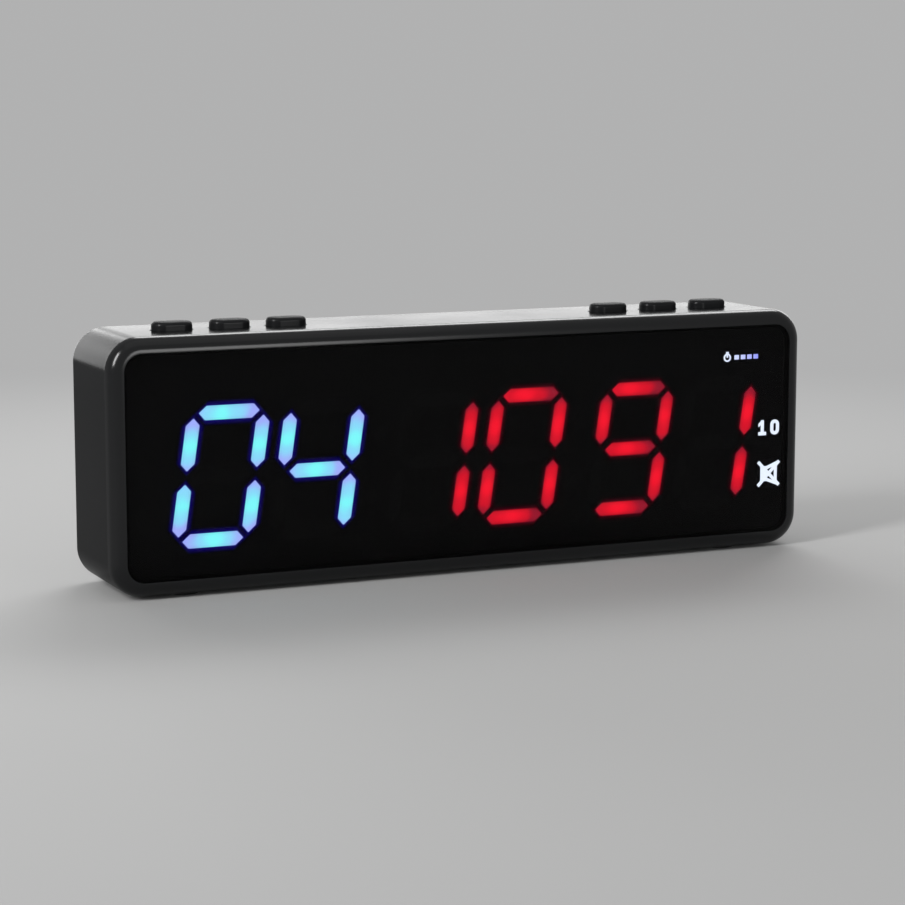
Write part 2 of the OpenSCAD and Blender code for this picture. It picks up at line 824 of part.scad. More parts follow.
module along_x(l, r) {
    rotate([0, 90, 0]) cylinder(r = r, h = l);
}

module battery_cells() {
    color("#2d6fb0") as_front() for (z = cells_z) translate([-battery_x - cell_l / 2, z, cell_y]) {
        along_x(cell_l, cell_d / 2);
        along_x(cell_l + pole_l, pole_r);
    }
}

module battery_tabs() {
    tab_z = cells_z[0] - tab_over;
    tab_h = cells_z[1] - cells_z[0] + 2 * tab_over;
    color("#c9ccd0") as_front() for (x = [pack_start, pack_end - tab_t])
        translate([x, tab_z, cell_y - tab_w / 2]) cube([tab_t, tab_h, tab_w]);
}

// A round wire along a list of points
module wire(points) {
    for (i = [0:len(points) - 2]) {
        d = points[i + 1] - points[i];
        translate(points[i]) rotate([0, acos(d[2] / norm(d)), atan2(d[1], d[0])])
            cylinder(r = wire_r, h = norm(d));
        if (i > 0) translate(points[i]) sphere(wire_r);
    }
}

module battery_lead_red() {
    pin_x = plug_x + plug_w / 4;
    color("#b01818") as_front() wire([
        [pack_end, cells_z[1], cell_y], [pin_x, cells_z[1], cell_y],
        [pin_x, plug_z, cell_y], [pin_x, plug_z, board_back + plug_l]
    ]);
}

module battery_lead_black() {
    pin_x = plug_x - plug_w / 4;
    turn_x = pack_end + wire_out;
    start_x = pack_start - wire_out;
    plug_y = board_back + plug_l;
    color("#151515") as_front() wire([
        [pack_start, plug_z, cell_y], [start_x, plug_z, cell_y], [start_x, plug_z, wire_lane],
        [turn_x, plug_z, wire_lane], [turn_x, plug_z, plug_y + wire_out],
        [pin_x, plug_z, plug_y + wire_out], [pin_x, plug_z, plug_y]
    ]);
}

module battery_plug() {
    color("#e8e4d8") as_front() translate([plug_x - plug_w / 2, plug_z - plug_h / 2, board_back])
        cube([plug_w, plug_h, plug_l]);
}

module charge_board() {
    charge_y = cover_y - charge_gap - charge_l;
    color("#1d4a33") as_front() translate([socket_x - charge_w / 2, charge_z, charge_y])
        cube([charge_w, board_t, charge_l]);
}

module charge_socket() {
    color("#c9ccd0") as_front() translate([socket_x, socket_z, body_d - socket_sink - socket_l]) {
        difference() {
            linear_extrude(height = socket_l) rounded_rect(socket_w, socket_h, socket_r);
            translate([0, 0, socket_floor]) linear_extrude(height = socket_l)
                rounded_rect(socket_w - 2 * socket_wall, socket_h - 2 * socket_wall, socket_r - socket_wall);
        }
        translate([-tongue_w / 2, -tongue_t / 2, socket_floor / 2])
            cube([tongue_w, tongue_t, tongue_l + socket_floor / 2]);
    }
}

// A flat cable along the back of the display board that turns on to a lying board
module ribbon(x, z, drop) {
    lap_y = drop < 0 ? key_y - key_board_b / 2 : cover_y - charge_gap - charge_l;
    translate([x - ribbon_w / 2, drop < 0 ? z + drop : z, board_back]) cube([ribbon_w, abs(drop), ribbon_t]);
    translate([x - ribbon_w / 2, drop < 0 ? z - ribbon_t : z, board_back])
        cube([ribbon_w, ribbon_t, lap_y + ribbon_lap - board_back]);
}

module key_ribbons() {
    color("#d8d4c4") as_front() for (s = [-1, 1])
        ribbon(s * (key_group_x - key_pitch / 2), key_board_z, -ribbon_drop);
}

module charge_ribbon() {
    color("#d8d4c4") as_front() ribbon(socket_x, charge_z + board_t, ribbon_drop);
}

front_housing();
display_lens();
lens_tape();
rear_cover();
cover_screws();
rubber_feet();
stand_insert();
magnets();
light_box();
blue_segments();
red_segments();
unlit_segments();
colon_dots();
sign_windows();
sign_symbols();
display_board();
board_screws();
blue_leds();
red_leds();
sign_leds();
controller_chip();
radio_module();
buzzer();
key_boards();
key_board_screws();
key_switches();
battery_cells();
battery_tabs();
battery_lead_red();
battery_lead_black();
battery_plug();
charge_board();
charge_socket();
key_ribbons();
charge_ribbon();
for (i = [1:key_n]) {
    key_cap(i);
    switch_plunger(i);
}
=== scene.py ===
import json
import math

import bmesh
import bpy
from mathutils import Matrix, Vector


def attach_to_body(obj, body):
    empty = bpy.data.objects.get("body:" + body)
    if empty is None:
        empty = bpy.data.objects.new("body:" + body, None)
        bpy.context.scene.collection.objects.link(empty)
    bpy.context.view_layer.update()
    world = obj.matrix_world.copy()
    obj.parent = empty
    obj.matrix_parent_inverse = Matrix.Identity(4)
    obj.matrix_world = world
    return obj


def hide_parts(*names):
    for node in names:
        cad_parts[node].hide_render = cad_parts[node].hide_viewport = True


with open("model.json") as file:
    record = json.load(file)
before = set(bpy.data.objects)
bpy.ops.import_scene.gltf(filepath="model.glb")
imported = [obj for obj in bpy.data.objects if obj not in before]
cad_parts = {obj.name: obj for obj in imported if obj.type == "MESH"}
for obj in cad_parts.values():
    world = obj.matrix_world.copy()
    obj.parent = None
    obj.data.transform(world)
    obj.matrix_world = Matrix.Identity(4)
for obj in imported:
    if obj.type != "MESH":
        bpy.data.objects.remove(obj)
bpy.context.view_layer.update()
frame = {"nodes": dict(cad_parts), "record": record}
nodes = frame["nodes"]
mm = 0.001
samePlane = 0.02 * mm  # points this near to a plane lie on it
faceOn = 0.9  # a face looks along an axis from this much of its normal
xAxis, yAxis, zAxis = 0, 1, 2
print("frame loaded:", len(nodes), "nodes")

# The case that everything is set against, in millimetres
case = {"width": 246.0, "height": 81.2, "depth": 39.5, "standsAt": 0.8, "cornerRadius": 10.8}
frontY = -case["depth"] / 2
backY = frontY + case["depth"]
caseTop = case["standsAt"] + case["height"]
caseMid = case["standsAt"] + case["height"] / 2


# Small steps that every piece is shaped with

def takeOnly(*objs):
    bpy.ops.object.select_all(action="DESELECT")
    for obj in objs:
        obj.select_set(True)
    bpy.context.view_layer.objects.active = objs[0]


def named(name):
    obj = bpy.context.active_object
    obj.name = name
    obj.data.name = name
    bpy.ops.object.transform_apply(location=True, rotation=True, scale=True)
    return obj


def addBlock(name, size, middle):
    bpy.ops.object.select_all(action="DESELECT")
    bpy.ops.mesh.primitive_cube_add(size=1, location=[v * mm for v in middle], scale=[v * mm for v in size])
    return named(name)


def along(axis, value, others=(0, 0)):
    # three values, from the one on an axis and those on the other two
    full = list(others)
    full.insert(axis, value)
    return full


def addRound(name, radius, low, high, place=(0, 0), sides=64, axis=zAxis):
    bpy.ops.object.select_all(action="DESELECT")
    spot = along(axis, (low + high) / 2, place)
    turn = [(0, math.pi / 2, 0), (math.pi / 2, 0, 0), (0, 0, 0)][axis]
    bpy.ops.mesh.primitive_cylinder_add(vertices=sides, radius=radius * mm, depth=(high - low) * mm,
                                        location=[v * mm for v in spot], rotation=turn)
    return named(name)


def startEdit(obj):
    takeOnly(obj)
    bpy.ops.object.mode_set(mode="EDIT")


def endEdit():
    bpy.ops.object.mode_set(mode="OBJECT")


def pick(obj, kind, test):
    bpy.ops.mesh.select_mode(type=kind)
    bpy.ops.mesh.select_all(action="DESELECT")
    work = bmesh.from_edit_mesh(obj.data)
    found = {"VERT": work.verts, "EDGE": work.edges, "FACE": work.faces}[kind]
    for item in [item for item in found if test(item)]:
        item.select_set(True)
    work.select_flush_mode()
    bmesh.update_edit_mesh(obj.data)


def onPlane(item, axis, place):
    return all(abs(v.co[axis] - place * mm) < samePlane for v in item.verts)


def flatOn(axis, place):
    # a test for edges that lie on a plane across an axis
    return lambda e: onPlane(e, axis, place)


def pickFaces(obj, axis, side, place=None):
    # chooses the faces that look along an axis, all of them or those on one plane
    onIt = lambda f: place is None or onPlane(f, axis, place)
    pick(obj, "FACE", lambda f: f.normal[axis] * side > faceOn and onIt(f))


def runsBack(edge):
    return abs(edge.verts[0].co.y - edge.verts[1].co.y) > samePlane


def fourPlaces(x, rise, middle):
    return [(sx * x, middle + sz * rise) for sx in (-1, 1) for sz in (-1, 1)]


def roundEdges(obj, test, radius, steps=2):
    pick(obj, "EDGE", test)
    bpy.ops.mesh.bevel(offset_type="OFFSET", offset=radius * mm, segments=steps, profile=0.5,
                       affect="EDGES", clamp_overlap=False)


def insetBy(width, lift=0.0):
    bpy.ops.mesh.inset(thickness=width * mm, depth=lift * mm, use_even_offset=True)


def pullBy(x=0.0, y=0.0, z=0.0):
    bpy.ops.mesh.extrude_region_move(TRANSFORM_OT_translate={"value": (x * mm, y * mm, z * mm)})


def moveBy(x=0.0, y=0.0, z=0.0):
    bpy.ops.transform.translate(value=(x * mm, y * mm, z * mm))


def ringTo(radius, now, x=0.0, y=0.0, z=0.0):
    # pulls the chosen end on and brings it to a new radius
    pullBy(x, y, z)
    grow = radius / now
    bpy.ops.transform.resize(value=(1.0 if x else grow, 1.0 if y else grow, 1.0 if z else grow))


def flare(cutter, axis, side, place, wide, high, mouth):
    # opens one end of a cutter, so that the hole gets a small chamfer
    pickFaces(cutter, axis, side)
    pullBy(*along(axis, side * 2 * mouth))
    grow = along(axis, 1.0, [(size + 4 * mouth) / size for size in (wide, high)])
    bpy.ops.transform.resize(value=grow, center_override=[v * mm for v in along(axis, 0, place)])


def spreadHalves(obj, run):
    # parts a round shape down its middle, so that it becomes an oblong of the same edge
    for side in (-1, 1):
        pick(obj, "VERT", lambda v: v.co.x * side > samePlane)
        moveBy(x=side * run / 2)


def joinUp(name, parts):
    takeOnly(*parts)
    bpy.ops.object.join()
    return named(name)


def cutWith(obj, cutter):
    takeOnly(obj)
    cut = obj.modifiers.new("cut", "BOOLEAN")
    cut.operation = "DIFFERENCE"
    cut.solver = "EXACT"
    cut.object = cutter
    bpy.ops.object.modifier_apply(modifier="cut")
    bpy.data.objects.remove(cutter)


def smoothOff(obj, angle=35):
    takeOnly(obj)
    bpy.ops.object.shade_smooth_by_angle(angle=math.radians(angle))
    weigh = obj.modifiers.new("weigh", "WEIGHTED_NORMAL")
    weigh.keep_sharp = True
    weigh.weight = 60
    bpy.ops.object.modifier_apply(modifier="weigh")
    return obj


def copyOf(obj, name, x=0.0, y=0.0, z=0.0, turn=0.0):
    takeOnly(obj)
    bpy.ops.object.duplicate(linked=False)
    twin = bpy.context.active_object
    twin.location = (x * mm, y * mm, z * mm)
    twin.rotation_euler = (0.0, math.radians(turn), 0.0)
    return named(name)


# Shared effects

def wire(tree, start, end):
    tree.links.new(start, end)


def newNode(tree, kind, **values):
    node = tree.nodes.new(kind)
    for key, value in values.items():
        setattr(node, key, value)
    return node


def setInputs(node, values):
    for label, value in values.items():
        node.inputs[label].default_value = value


def newGroup(name, inputs, outputs):
    group = bpy.data.node_groups.new(name, "ShaderNodeTree")
    group.interface.new_socket(name="Vector", in_out="INPUT", socket_type="NodeSocketVector")
    for label, value in inputs.items():
        socket = group.interface.new_socket(name=label, in_out="INPUT", socket_type="NodeSocketFloat")
        socket.default_value = value
    for label in outputs:
        group.interface.new_socket(name=label, in_out="OUTPUT", socket_type="NodeSocketFloat")
    return group, newNode(group, "NodeGroupInput"), newNode(group, "NodeGroupOutput")


def noiseAt(tree, vector, scale, detail, roughness):
    node = newNode(tree, "ShaderNodeTexNoise")
    setInputs(node, {"Detail": detail, "Roughness": roughness})
    wire(tree, vector, node.inputs["Vector"])
    if isinstance(scale, float):
        node.inputs["Scale"].default_value = scale
    else:
        wire(tree, scale, node.inputs["Scale"])
    return node.outputs["Fac"]


def mathOf(tree, operation, first, second):
    node = newNode(tree, "ShaderNodeMath", operation=operation)
    for socket, value in zip(node.inputs, (first, second)):
        if isinstance(value, (int, float)):
            socket.default_value = value
        else:
            wire(tree, value, socket)
    return node.outputs[0]


def buildMouldGrain():
    # fine grain of a moulded or coated skin, with a slow drift of tone over it
    scales = {"Grain Scale": 2000.0, "Drift Scale": 30.0}
    group, enter, leave = newGroup("mouldGrain", scales, ("Height", "Drift"))
    place = enter.outputs["Vector"]
    fine = noiseAt(group, place, enter.outputs["Grain Scale"], detail=3.0, roughness=0.6)
    slow = noiseAt(group, place, enter.outputs["Drift Scale"], detail=2.0, roughness=0.5)
    wire(group, fine, leave.inputs["Height"])
    wire(group, slow, leave.inputs["Drift"])
    return group


lineStretch = (0.06, 1.0, 1.0)  # drawn lines run along X


def buildDrawnLines():
    # long fine lines of drawn, rolled or turned metal
    group, enter, leave = newGroup("drawnLines", {"Line Scale": 900.0}, ("Height", "Streak"))
    stretch = newNode(group, "ShaderNodeMapping")
    setInputs(stretch, {"Scale": lineStretch})
    wire(group, enter.outputs["Vector"], stretch.inputs["Vector"])
    place = stretch.outputs["Vector"]
    lines = noiseAt(group, place, enter.outputs["Line Scale"], detail=2.0, roughness=0.5)
    wire(group, lines, leave.inputs["Height"])
    wire(group, lines, leave.inputs["Streak"])
    return group


mouldGrain = buildMouldGrain()
drawnLines = buildDrawnLines()


def newMaterial(name):
    mat = bpy.data.materials.new(name)
    mat.use_nodes = True
    tree = mat.node_tree
    spot = newNode(tree, "ShaderNodeTexCoord")
    return mat, tree, tree.nodes["Principled BSDF"], spot.outputs["Object"]


mixSockets = {"first": 6, "second": 7, "result": 2}  # the colours of a mix node, by number


def mixColour(tree, amount, first, second):
    node = newNode(tree, "ShaderNodeMix", data_type="RGBA")
    wire(tree, amount, node.inputs["Factor"])
    setInputs(node, {mixSockets["first"]: (*first, 1.0), mixSockets["second"]: (*second, 1.0)})
    return node.outputs[mixSockets["result"]]


def spanOf(tree, amount, low, high, fromLow=0.3, fromHigh=0.7):
    # noise lies mostly between the two defaults
    node = newNode(tree, "ShaderNodeMapRange")
    setInputs(node, {"From Min": fromLow, "From Max": fromHigh, "To Min": low, "To Max": high})
    wire(tree, amount, node.inputs["Value"])
    return node.outputs["Result"]


def splitOf(tree, vector):
    node = newNode(tree, "ShaderNodeSeparateXYZ")
    wire(tree, vector, node.inputs["Vector"])
    return node.outputs


def addBump(tree, shader, height, depth, strength):
    bump = newNode(tree, "ShaderNodeBump")
    setInputs(bump, {"Distance": depth * mm, "Strength": strength})
    wire(tree, height, bump.inputs["Height"])
    wire(tree, bump.outputs["Normal"], shader.inputs["Normal"])


def addEffect(tree, group, place, values):
    effect = newNode(tree, "ShaderNodeGroup", node_tree=group)
    setInputs(effect, values)
    wire(tree, place, effect.inputs["Vector"])
    return effect.outputs


polishedDepth = (3.2, 4.8)  # behind the front plane, where the polish of the frame fades out


def mouldedFinish(name, dark, light, rough, grain=1800.0, drift=25.0, depth=0.03, strength=0.35, shine=0.5,
                  coat=0.0, coatRough=0.14, coatBend=1.5, sideCoat=None):
    mat, tree, shader, place = newMaterial(name)
    skin = addEffect(tree, mouldGrain, place, {"Grain Scale": grain, "Drift Scale": drift})
    wire(tree, mixColour(tree, skin["Drift"], dark, light), shader.inputs["Base Color"])
    wire(tree, spanOf(tree, skin["Drift"], *rough), shader.inputs["Roughness"])
    setInputs(shader, {"Specular IOR Level": shine, "Coat Weight": coat,
                       "Coat Roughness": coatRough, "Coat IOR": coatBend})
    if sideCoat is not None:
        # the rounded frame is polished, and what lies behind it is left satin
        ends = [(frontY + y) * mm for y in polishedDepth]
        fadeBack = spanOf(tree, splitOf(tree, place)["Y"], coat, sideCoat, *ends)
        wire(tree, fadeBack, shader.inputs["Coat Weight"])
    addBump(tree, shader, skin["Height"], depth, strength)
    return mat


def metalFinish(name, dark, light, rough, lines=900.0, depth=0.01, strength=0.3):
    mat, tree, shader, place = newMaterial(name)
    drawn = addEffect(tree, drawnLines, place, {"Line Scale": lines})
    wire(tree, mixColour(tree, drawn["Streak"], dark, light), shader.inputs["Base Color"])
    wire(tree, spanOf(tree, drawn["Streak"], *rough), shader.inputs["Roughness"])
    setInputs(shader, {"Metallic": 1.0})
    addBump(tree, shader, drawn["Height"], depth, strength)
    return mat


# One finish for each slot of the record: its darkest and lightest tone, and its range of roughness
finishes = {
    "case_plastic": mouldedFinish(
        "satinCase", (0.0050, 0.0053, 0.0058), (0.0068, 0.0071, 0.0077), (0.22, 0.27), grain=2600.0,
        depth=0.010, strength=0.12, shine=0.008, coat=0.62, coatRough=0.17, sideCoat=0.02),
    "cover_plastic": mouldedFinish(
        "texturedCover", (0.009, 0.0093, 0.0099), (0.016, 0.0164, 0.0174), (0.50, 0.60), grain=3800.0,
        depth=0.045, strength=0.8, shine=0.35),
    "black_tape": mouldedFinish(
        "foamTape", (0.006, 0.006, 0.006), (0.012, 0.012, 0.012), (0.85, 0.95), shine=0.2),
    "foot_rubber": mouldedFinish(
        "footRubber", (0.010, 0.010, 0.010), (0.018, 0.018, 0.018), (0.75, 0.9), grain=2200.0,
        depth=0.04, strength=0.5, shine=0.3),
    "box_black": mouldedFinish(
        "boxBlack", (0.004, 0.004, 0.0045), (0.007, 0.007, 0.008), (0.8, 0.9), shine=0.1),
    "dark_diffuser": mouldedFinish(
        "darkDiffuser", (0.005, 0.005, 0.006), (0.008, 0.008, 0.009), (0.6, 0.7), shine=0.15),
    "board_green": mouldedFinish(
        "solderMask", (0.006, 0.05, 0.022), (0.012, 0.085, 0.04), (0.35, 0.45), grain=700.0, drift=220.0,
        depth=0.02),
    "led_body": mouldedFinish("ledBody", (0.72, 0.73, 0.68), (0.85, 0.85, 0.8), (0.2, 0.3)),
    "chip_black": mouldedFinish("chipBlack", (0.010, 0.010, 0.011), (0.018, 0.018, 0.019), (0.55, 0.7)),
    "switch_black": mouldedFinish("switchBlack", (0.015, 0.015, 0.016), (0.024, 0.024, 0.026), (0.4, 0.5)),
    "wire_red": mouldedFinish("wireRed", (0.36, 0.008, 0.008), (0.5, 0.015, 0.012), (0.4, 0.5)),
    "wire_black": mouldedFinish("wireBlack", (0.009, 0.009, 0.009), (0.016, 0.016, 0.016), (0.4, 0.5)),
    "plug_ivory": mouldedFinish("plugIvory", (0.66, 0.62, 0.5), (0.76, 0.72, 0.6), (0.4, 0.5)),
    "ribbon_ivory": mouldedFinish("ribbonIvory", (0.58, 0.55, 0.44), (0.68, 0.65, 0.54), (0.45, 0.55)),
    "cell_wrap": mouldedFinish("cellWrap", (0.02, 0.10, 0.30), (0.03, 0.14, 0.38), (0.22, 0.3), coat=0.4),
    "key_black": mouldedFinish(
        "keyBlack", (0.0070, 0.0073, 0.0081), (0.0100, 0.0104, 0.0113), (0.60, 0.68), grain=2400.0,
        depth=0.012, strength=0.25, shine=0.06, coat=0.025, coatRough=0.22, coatBend=4.0),
    "screw_steel": metalFinish("screwSteel", (0.42, 0.43, 0.45), (0.58, 0.59, 0.61), (0.28, 0.4)),
    "insert_brass": metalFinish("insertBrass", (0.62, 0.42, 0.16), (0.78, 0.56, 0.24), (0.22, 0.34)),
    "magnet_nickel": metalFinish("magnetNickel", (0.52, 0.52, 0.51), (0.64, 0.63, 0.61), (0.16, 0.26)),
    "shield_tin": metalFinish("shieldTin", (0.55, 0.56, 0.57), (0.68, 0.69, 0.7), (0.26, 0.38)),
    "tab_nickel": metalFinish("tabNickel", (0.56, 0.56, 0.53), (0.68, 0.67, 0.64), (0.24, 0.34)),
    "socket_steel": metalFinish("socketSteel", (0.5, 0.51, 0.52), (0.64, 0.65, 0.66), (0.22, 0.32)),
}
print("finishes ready:", len(finishes))

# Smoked window
lensForm = {"frame": 5.0, "gap": 0.12, "thickness": 2.0, "edge": 0.18, "edgeSteps": 3, "cornerSteps": 14,
            "tint": (0.30, 0.30, 0.305), "roughness": (0.02, 0.05), "bending": 1.16,
            "smearScale": 60.0, "driftScale": 14.0}


def smokedLens():
    mat, tree, shader, place = newMaterial("smokedLens")
    scales = {"Grain Scale": lensForm["smearScale"], "Drift Scale": lensForm["driftScale"]}
    smear = addEffect(tree, mouldGrain, place, scales)
    wire(tree, spanOf(tree, smear["Height"], *lensForm["roughness"]), shader.inputs["Roughness"])
    setInputs(shader, {"Base Color": (*lensForm["tint"], 1.0), "Transmission Weight": 1.0,
                       "IOR": lensForm["bending"]})
    return mat


finishes["smoked_lens"] = smokedLens()

# Lit bars: a hot middle that pales towards both tips, and round each bar a thin lip that glows with a
# painted halo, standing in for the bar's light spilling round it
# the lip colour is the colour of that painted halo, and the fall is how fast the painted glow dies away
# outwards
blueGlow = {"hot": (0.205, 0.95, 0.95), "mid": (0.25, 0.70, 0.945), "tip": (0.35, 0.41, 0.94),
            "middle": 0.52, "edge": 0.92, "lip": (0.003, 0.0, 0.130), "haloFall": 1.3, "strength": 3.35}
redGlow = {"hot": (0.92, 0.005, 0.024), "mid": (0.66, 0.003, 0.018), "tip": (0.28, 0.005, 0.021),
           "middle": 0.60, "edge": 0.60, "lip": (0.050, 0.0, 0.004), "haloFall": 1.8, "strength": 3.35}
# what both colours share: clouding of the diffuser, and how far the hot middle and the dim edge reach
glowForm = {"cloudScale": 160.0, "cloud": 0.10, "bulge": 0.15, "hotTo": 0.06, "edgeFrom": 0.45,
            "unlit": (0.02, 0.02, 0.02), "rough": 0.5,
            "lipUnlit": (0.004, 0.004, 0.005), "lipRough": 0.8, "lipShine": 0.1}


def scaledColour(tree, amount):
    node = newNode(tree, "ShaderNodeVectorMath", operation="SCALE")
    wire(tree, amount, node.inputs["Scale"])
    return node.inputs[0], node.outputs["Vector"]


def glowFinish(name, glow):
    form = glowForm
    mat, tree, shader, place = newMaterial(name)
    chart = newNode(tree, "ShaderNodeUVMap", uv_map="barMap")
    split = splitOf(tree, chart.outputs["UV"])
    lengthwise = mathOf(tree, "ABSOLUTE", split["X"], 0.0)
    across = mathOf(tree, "ABSOLUTE", split["Y"], 0.0)
    cloud = noiseAt(tree, place, form["cloudScale"], detail=1.0, roughness=0.5)
    drift = spanOf(tree, cloud, -form["cloud"], form["cloud"])
    bulge = mathOf(tree, "MULTIPLY", across, mathOf(tree, "MULTIPLY", across, form["bulge"]))
    reach = mathOf(tree, "ADD", mathOf(tree, "ADD", lengthwise, drift), bulge)
    ramp = newNode(tree, "ShaderNodeValToRGB")
    ramp.color_ramp.interpolation = "EASE"
    stops = ramp.color_ramp.elements
    stops[0].position, stops[0].color = form["hotTo"], (*glow["hot"], 1.0)
    stops[1].position, stops[1].color = 1.0, (*glow["tip"], 1.0)
    middle = stops.new(glow["middle"])
    middle.color = (*glow["mid"], 1.0)
    wire(tree, reach, ramp.inputs["Fac"])
    colourIn, colourOut = scaledColour(tree, spanOf(tree, across, 1.0, glow["edge"], form["edgeFrom"], 1.0))
    wire(tree, ramp.outputs["Color"], colourIn)
    wire(tree, colourOut, shader.inputs["Emission Color"])
    setInputs(shader, {"Emission Strength": glow["strength"], "Base Color": (*form["unlit"], 1.0),
                       "Roughness": form["rough"]})
    return mat


# the lip's emission is a painted halo: glow painted on the ring round a bar, strongest next to it and fading
# outwards
def paintedHaloFinish(name, glow):
    form = glowForm
    mat, tree, shader = newMaterial(name)[:3]
    paintedHalo = newNode(tree, "ShaderNodeAttribute", attribute_name="paintedHalo")
    colourIn, colourOut = scaledColour(tree, mathOf(tree, "POWER", paintedHalo.outputs["Fac"], glow["haloFall"]))
    colourIn.default_value = glow["lip"]
    wire(tree, colourOut, shader.inputs["Emission Color"])
    setInputs(shader, {"Emission Strength": glow["strength"], "Base Color": (*form["lipUnlit"], 1.0),
                       "Roughness": form["lipRough"], "Specular IOR Level": form["lipShine"]})
    return mat


# Small white signs: the strip by the top turns blue towards its right end
signGlow = {"white": (0.80, 0.88, 1.0), "blue": (0.16, 0.18, 0.95), "mostBlue": 0.8,
            "stripFrom": 93.0, "stripTo": 107.0, "stripAbove": 60.0, "strength": 3.5,
            "unlit": (0.1, 0.1, 0.1)}


def signFinish():
    form = signGlow
    mat, tree, shader, place = newMaterial("litSign")
    split = splitOf(tree, place)
    drift = spanOf(tree, split["X"], 0.0, form["mostBlue"], form["stripFrom"] * mm, form["stripTo"] * mm)
    above = mathOf(tree, "GREATER_THAN", split["Z"], form["stripAbove"] * mm)
    amount = mathOf(tree, "MULTIPLY", drift, above)
    wire(tree, mixColour(tree, amount, form["white"], form["blue"]), shader.inputs["Emission Color"])
    setInputs(shader, {"Emission Strength": form["strength"], "Base Color": (*form["unlit"], 1.0)})
    return mat


finishes["blue_light"] = glowFinish("blueBar", blueGlow)
finishes["red_light"] = glowFinish("redBar", redGlow)
finishes["sign_light"] = signFinish()

# Every node takes its slot's finish
rows = frame["record"]["subparts"]
for row in rows:
    slots = nodes[row["node"]].data.materials
    slots.clear()
    slots.append(finishes[row["material_slot"]])
print("nodes dressed:", len(rows))


def attach(obj, body, slot, *replaced):
    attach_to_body(obj, body)
    if replaced:
        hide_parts(*replaced)


def dress(obj, body, slot, *replaced):
    obj.data.materials.clear()
    obj.data.materials.append(finishes[slot])
    attach(obj, body, slot, *replaced)


# Keys on the top, and their openings in the case
keyForm = {"length": 13.2, "width": 8.0, "height": 2.85, "edge": 1.25, "edgeSteps": 8, "sides": 72,
           "crown": ((0.9, 0.07), (0.9, 0.04)), "rim": 1.4, "rimTop": 79.3, "rimThickness": 1.4,
           "stem": 1.6, "stemLength": 2.0, "stemEdge": 0.2, "stemSides": 32,
           "groupX": 77.2, "pitch": 19.1, "gap": 0.3, "mouth": 0.25, "openingDepth": 4.0}
keyPlaces = [side * keyForm["groupX"] + i * keyForm["pitch"] for side in (-1, 1) for i in (-1, 0, 1)]
keyRun = keyForm["length"] - keyForm["width"]


def makeKey():
    form = keyForm
    crown = sum(step[1] for step in form["crown"])
    shoulder = caseTop + form["height"] - crown
    low = form["rimTop"] - form["rimThickness"]
    key = addRound("keyTop", form["width"] / 2 + form["rim"], low, form["rimTop"], sides=form["sides"])
    startEdit(key)
    pickFaces(key, zAxis, 1)
    insetBy(form["rim"])
    pullBy(z=shoulder - form["rimTop"])
    roundEdges(key, flatOn(zAxis, shoulder), form["edge"], form["edgeSteps"])
    pickFaces(key, zAxis, 1, shoulder)
    for width, lift in form["crown"]:
        insetBy(width)
        moveBy(z=lift)
    spreadHalves(key, keyRun)
    endEdit()
    foot = low - form["stemLength"]
    stem = addRound("keyStem", form["stem"], foot, low, sides=form["stemSides"])
    startEdit(stem)
    roundEdges(stem, flatOn(zAxis, foot), form["stemEdge"])
    endEdit()
    return smoothOff(joinUp("keyTop", [key, stem]), angle=40)


def openingCutter(name, x):
    form = keyForm
    half = form["width"] / 2 + form["gap"]
    mouth = form["mouth"]
    cutter = addRound(name, half, caseTop - form["openingDepth"], caseTop - mouth, sides=form["sides"])
    startEdit(cutter)
    flare(cutter, zAxis, 1, (0, 0), 2 * half, 2 * half, mouth)
    spreadHalves(cutter, keyRun)
    bpy.ops.mesh.select_all(action="SELECT")
    moveBy(x=x)
    endEdit()
    return cutter


def roundCutter(name, radius, place, depth, mouth):
    low = case["standsAt"]
    cutter = addRound(name, radius, low + mouth, low + depth, place)
    startEdit(cutter)
    flare(cutter, zAxis, -1, place, 2 * radius, 2 * radius, mouth)
    endEdit()
    return cutter


# Rubber feet and the stand insert under the case
footForm = {"radius": 5.0, "fit": 0.05, "sunk": 0.8, "edge": 0.35, "edgeSteps": 4, "sides": 56,
            "ribs": ((0.9, 0.25), (0.5, -0.25), (0.9, 0.25), (0.5, -0.25)), "ribFlank": 0.12,
            "x": 97.0, "y": 9.55, "mouth": 0.2}
insertForm = {"outer": 4.6, "fit": 0.02, "edge": 0.2, "bore": 2.6, "length": 9.0,
              "turns": 7, "pitch": 1.27, "crest": 0.42, "mouth": 0.5,
              "pocketDepth": 4.0, "pocketMouth": 0.15}

# Bosses that the screws go into, and the posts of the key boards; a place is from the middle of the case
bossForm = {"radius": 2.8, "hole": 1.35, "rim": 0.15, "root": 3.8, "sides": 40,
            "cover": ((116.301, 33.901), (38.767, 35.6)), "coverEnd": 37.1, "coverBore": 8.7,
            "board": ((104.701, 35.6),), "boardEnd": 10.5, "boardBore": 4.9,
            "post": 2.4, "postX": (-107.3, -47.1, 47.1, 107.3),
            "postEnd": 70.9, "postRoot": 80.7, "postBore": 4.4,
            "insertWall": 1.6, "insertRoof": 11.8, "insertRoot": 2.1}


def addBoss(name, radius, hole, root, end, bore, place, axis):
    way = 1 if end > root else -1
    boss = addRound(name, radius, min(root, end), max(root, end), place, bossForm["sides"], axis)
    startEdit(boss)
    pickFaces(boss, axis, way)
    insetBy(radius - hole)
    pullBy(*along(axis, -way * bore))
    roundEdges(boss, flatOn(axis, end), bossForm["rim"])
    endEdit()
    return boss


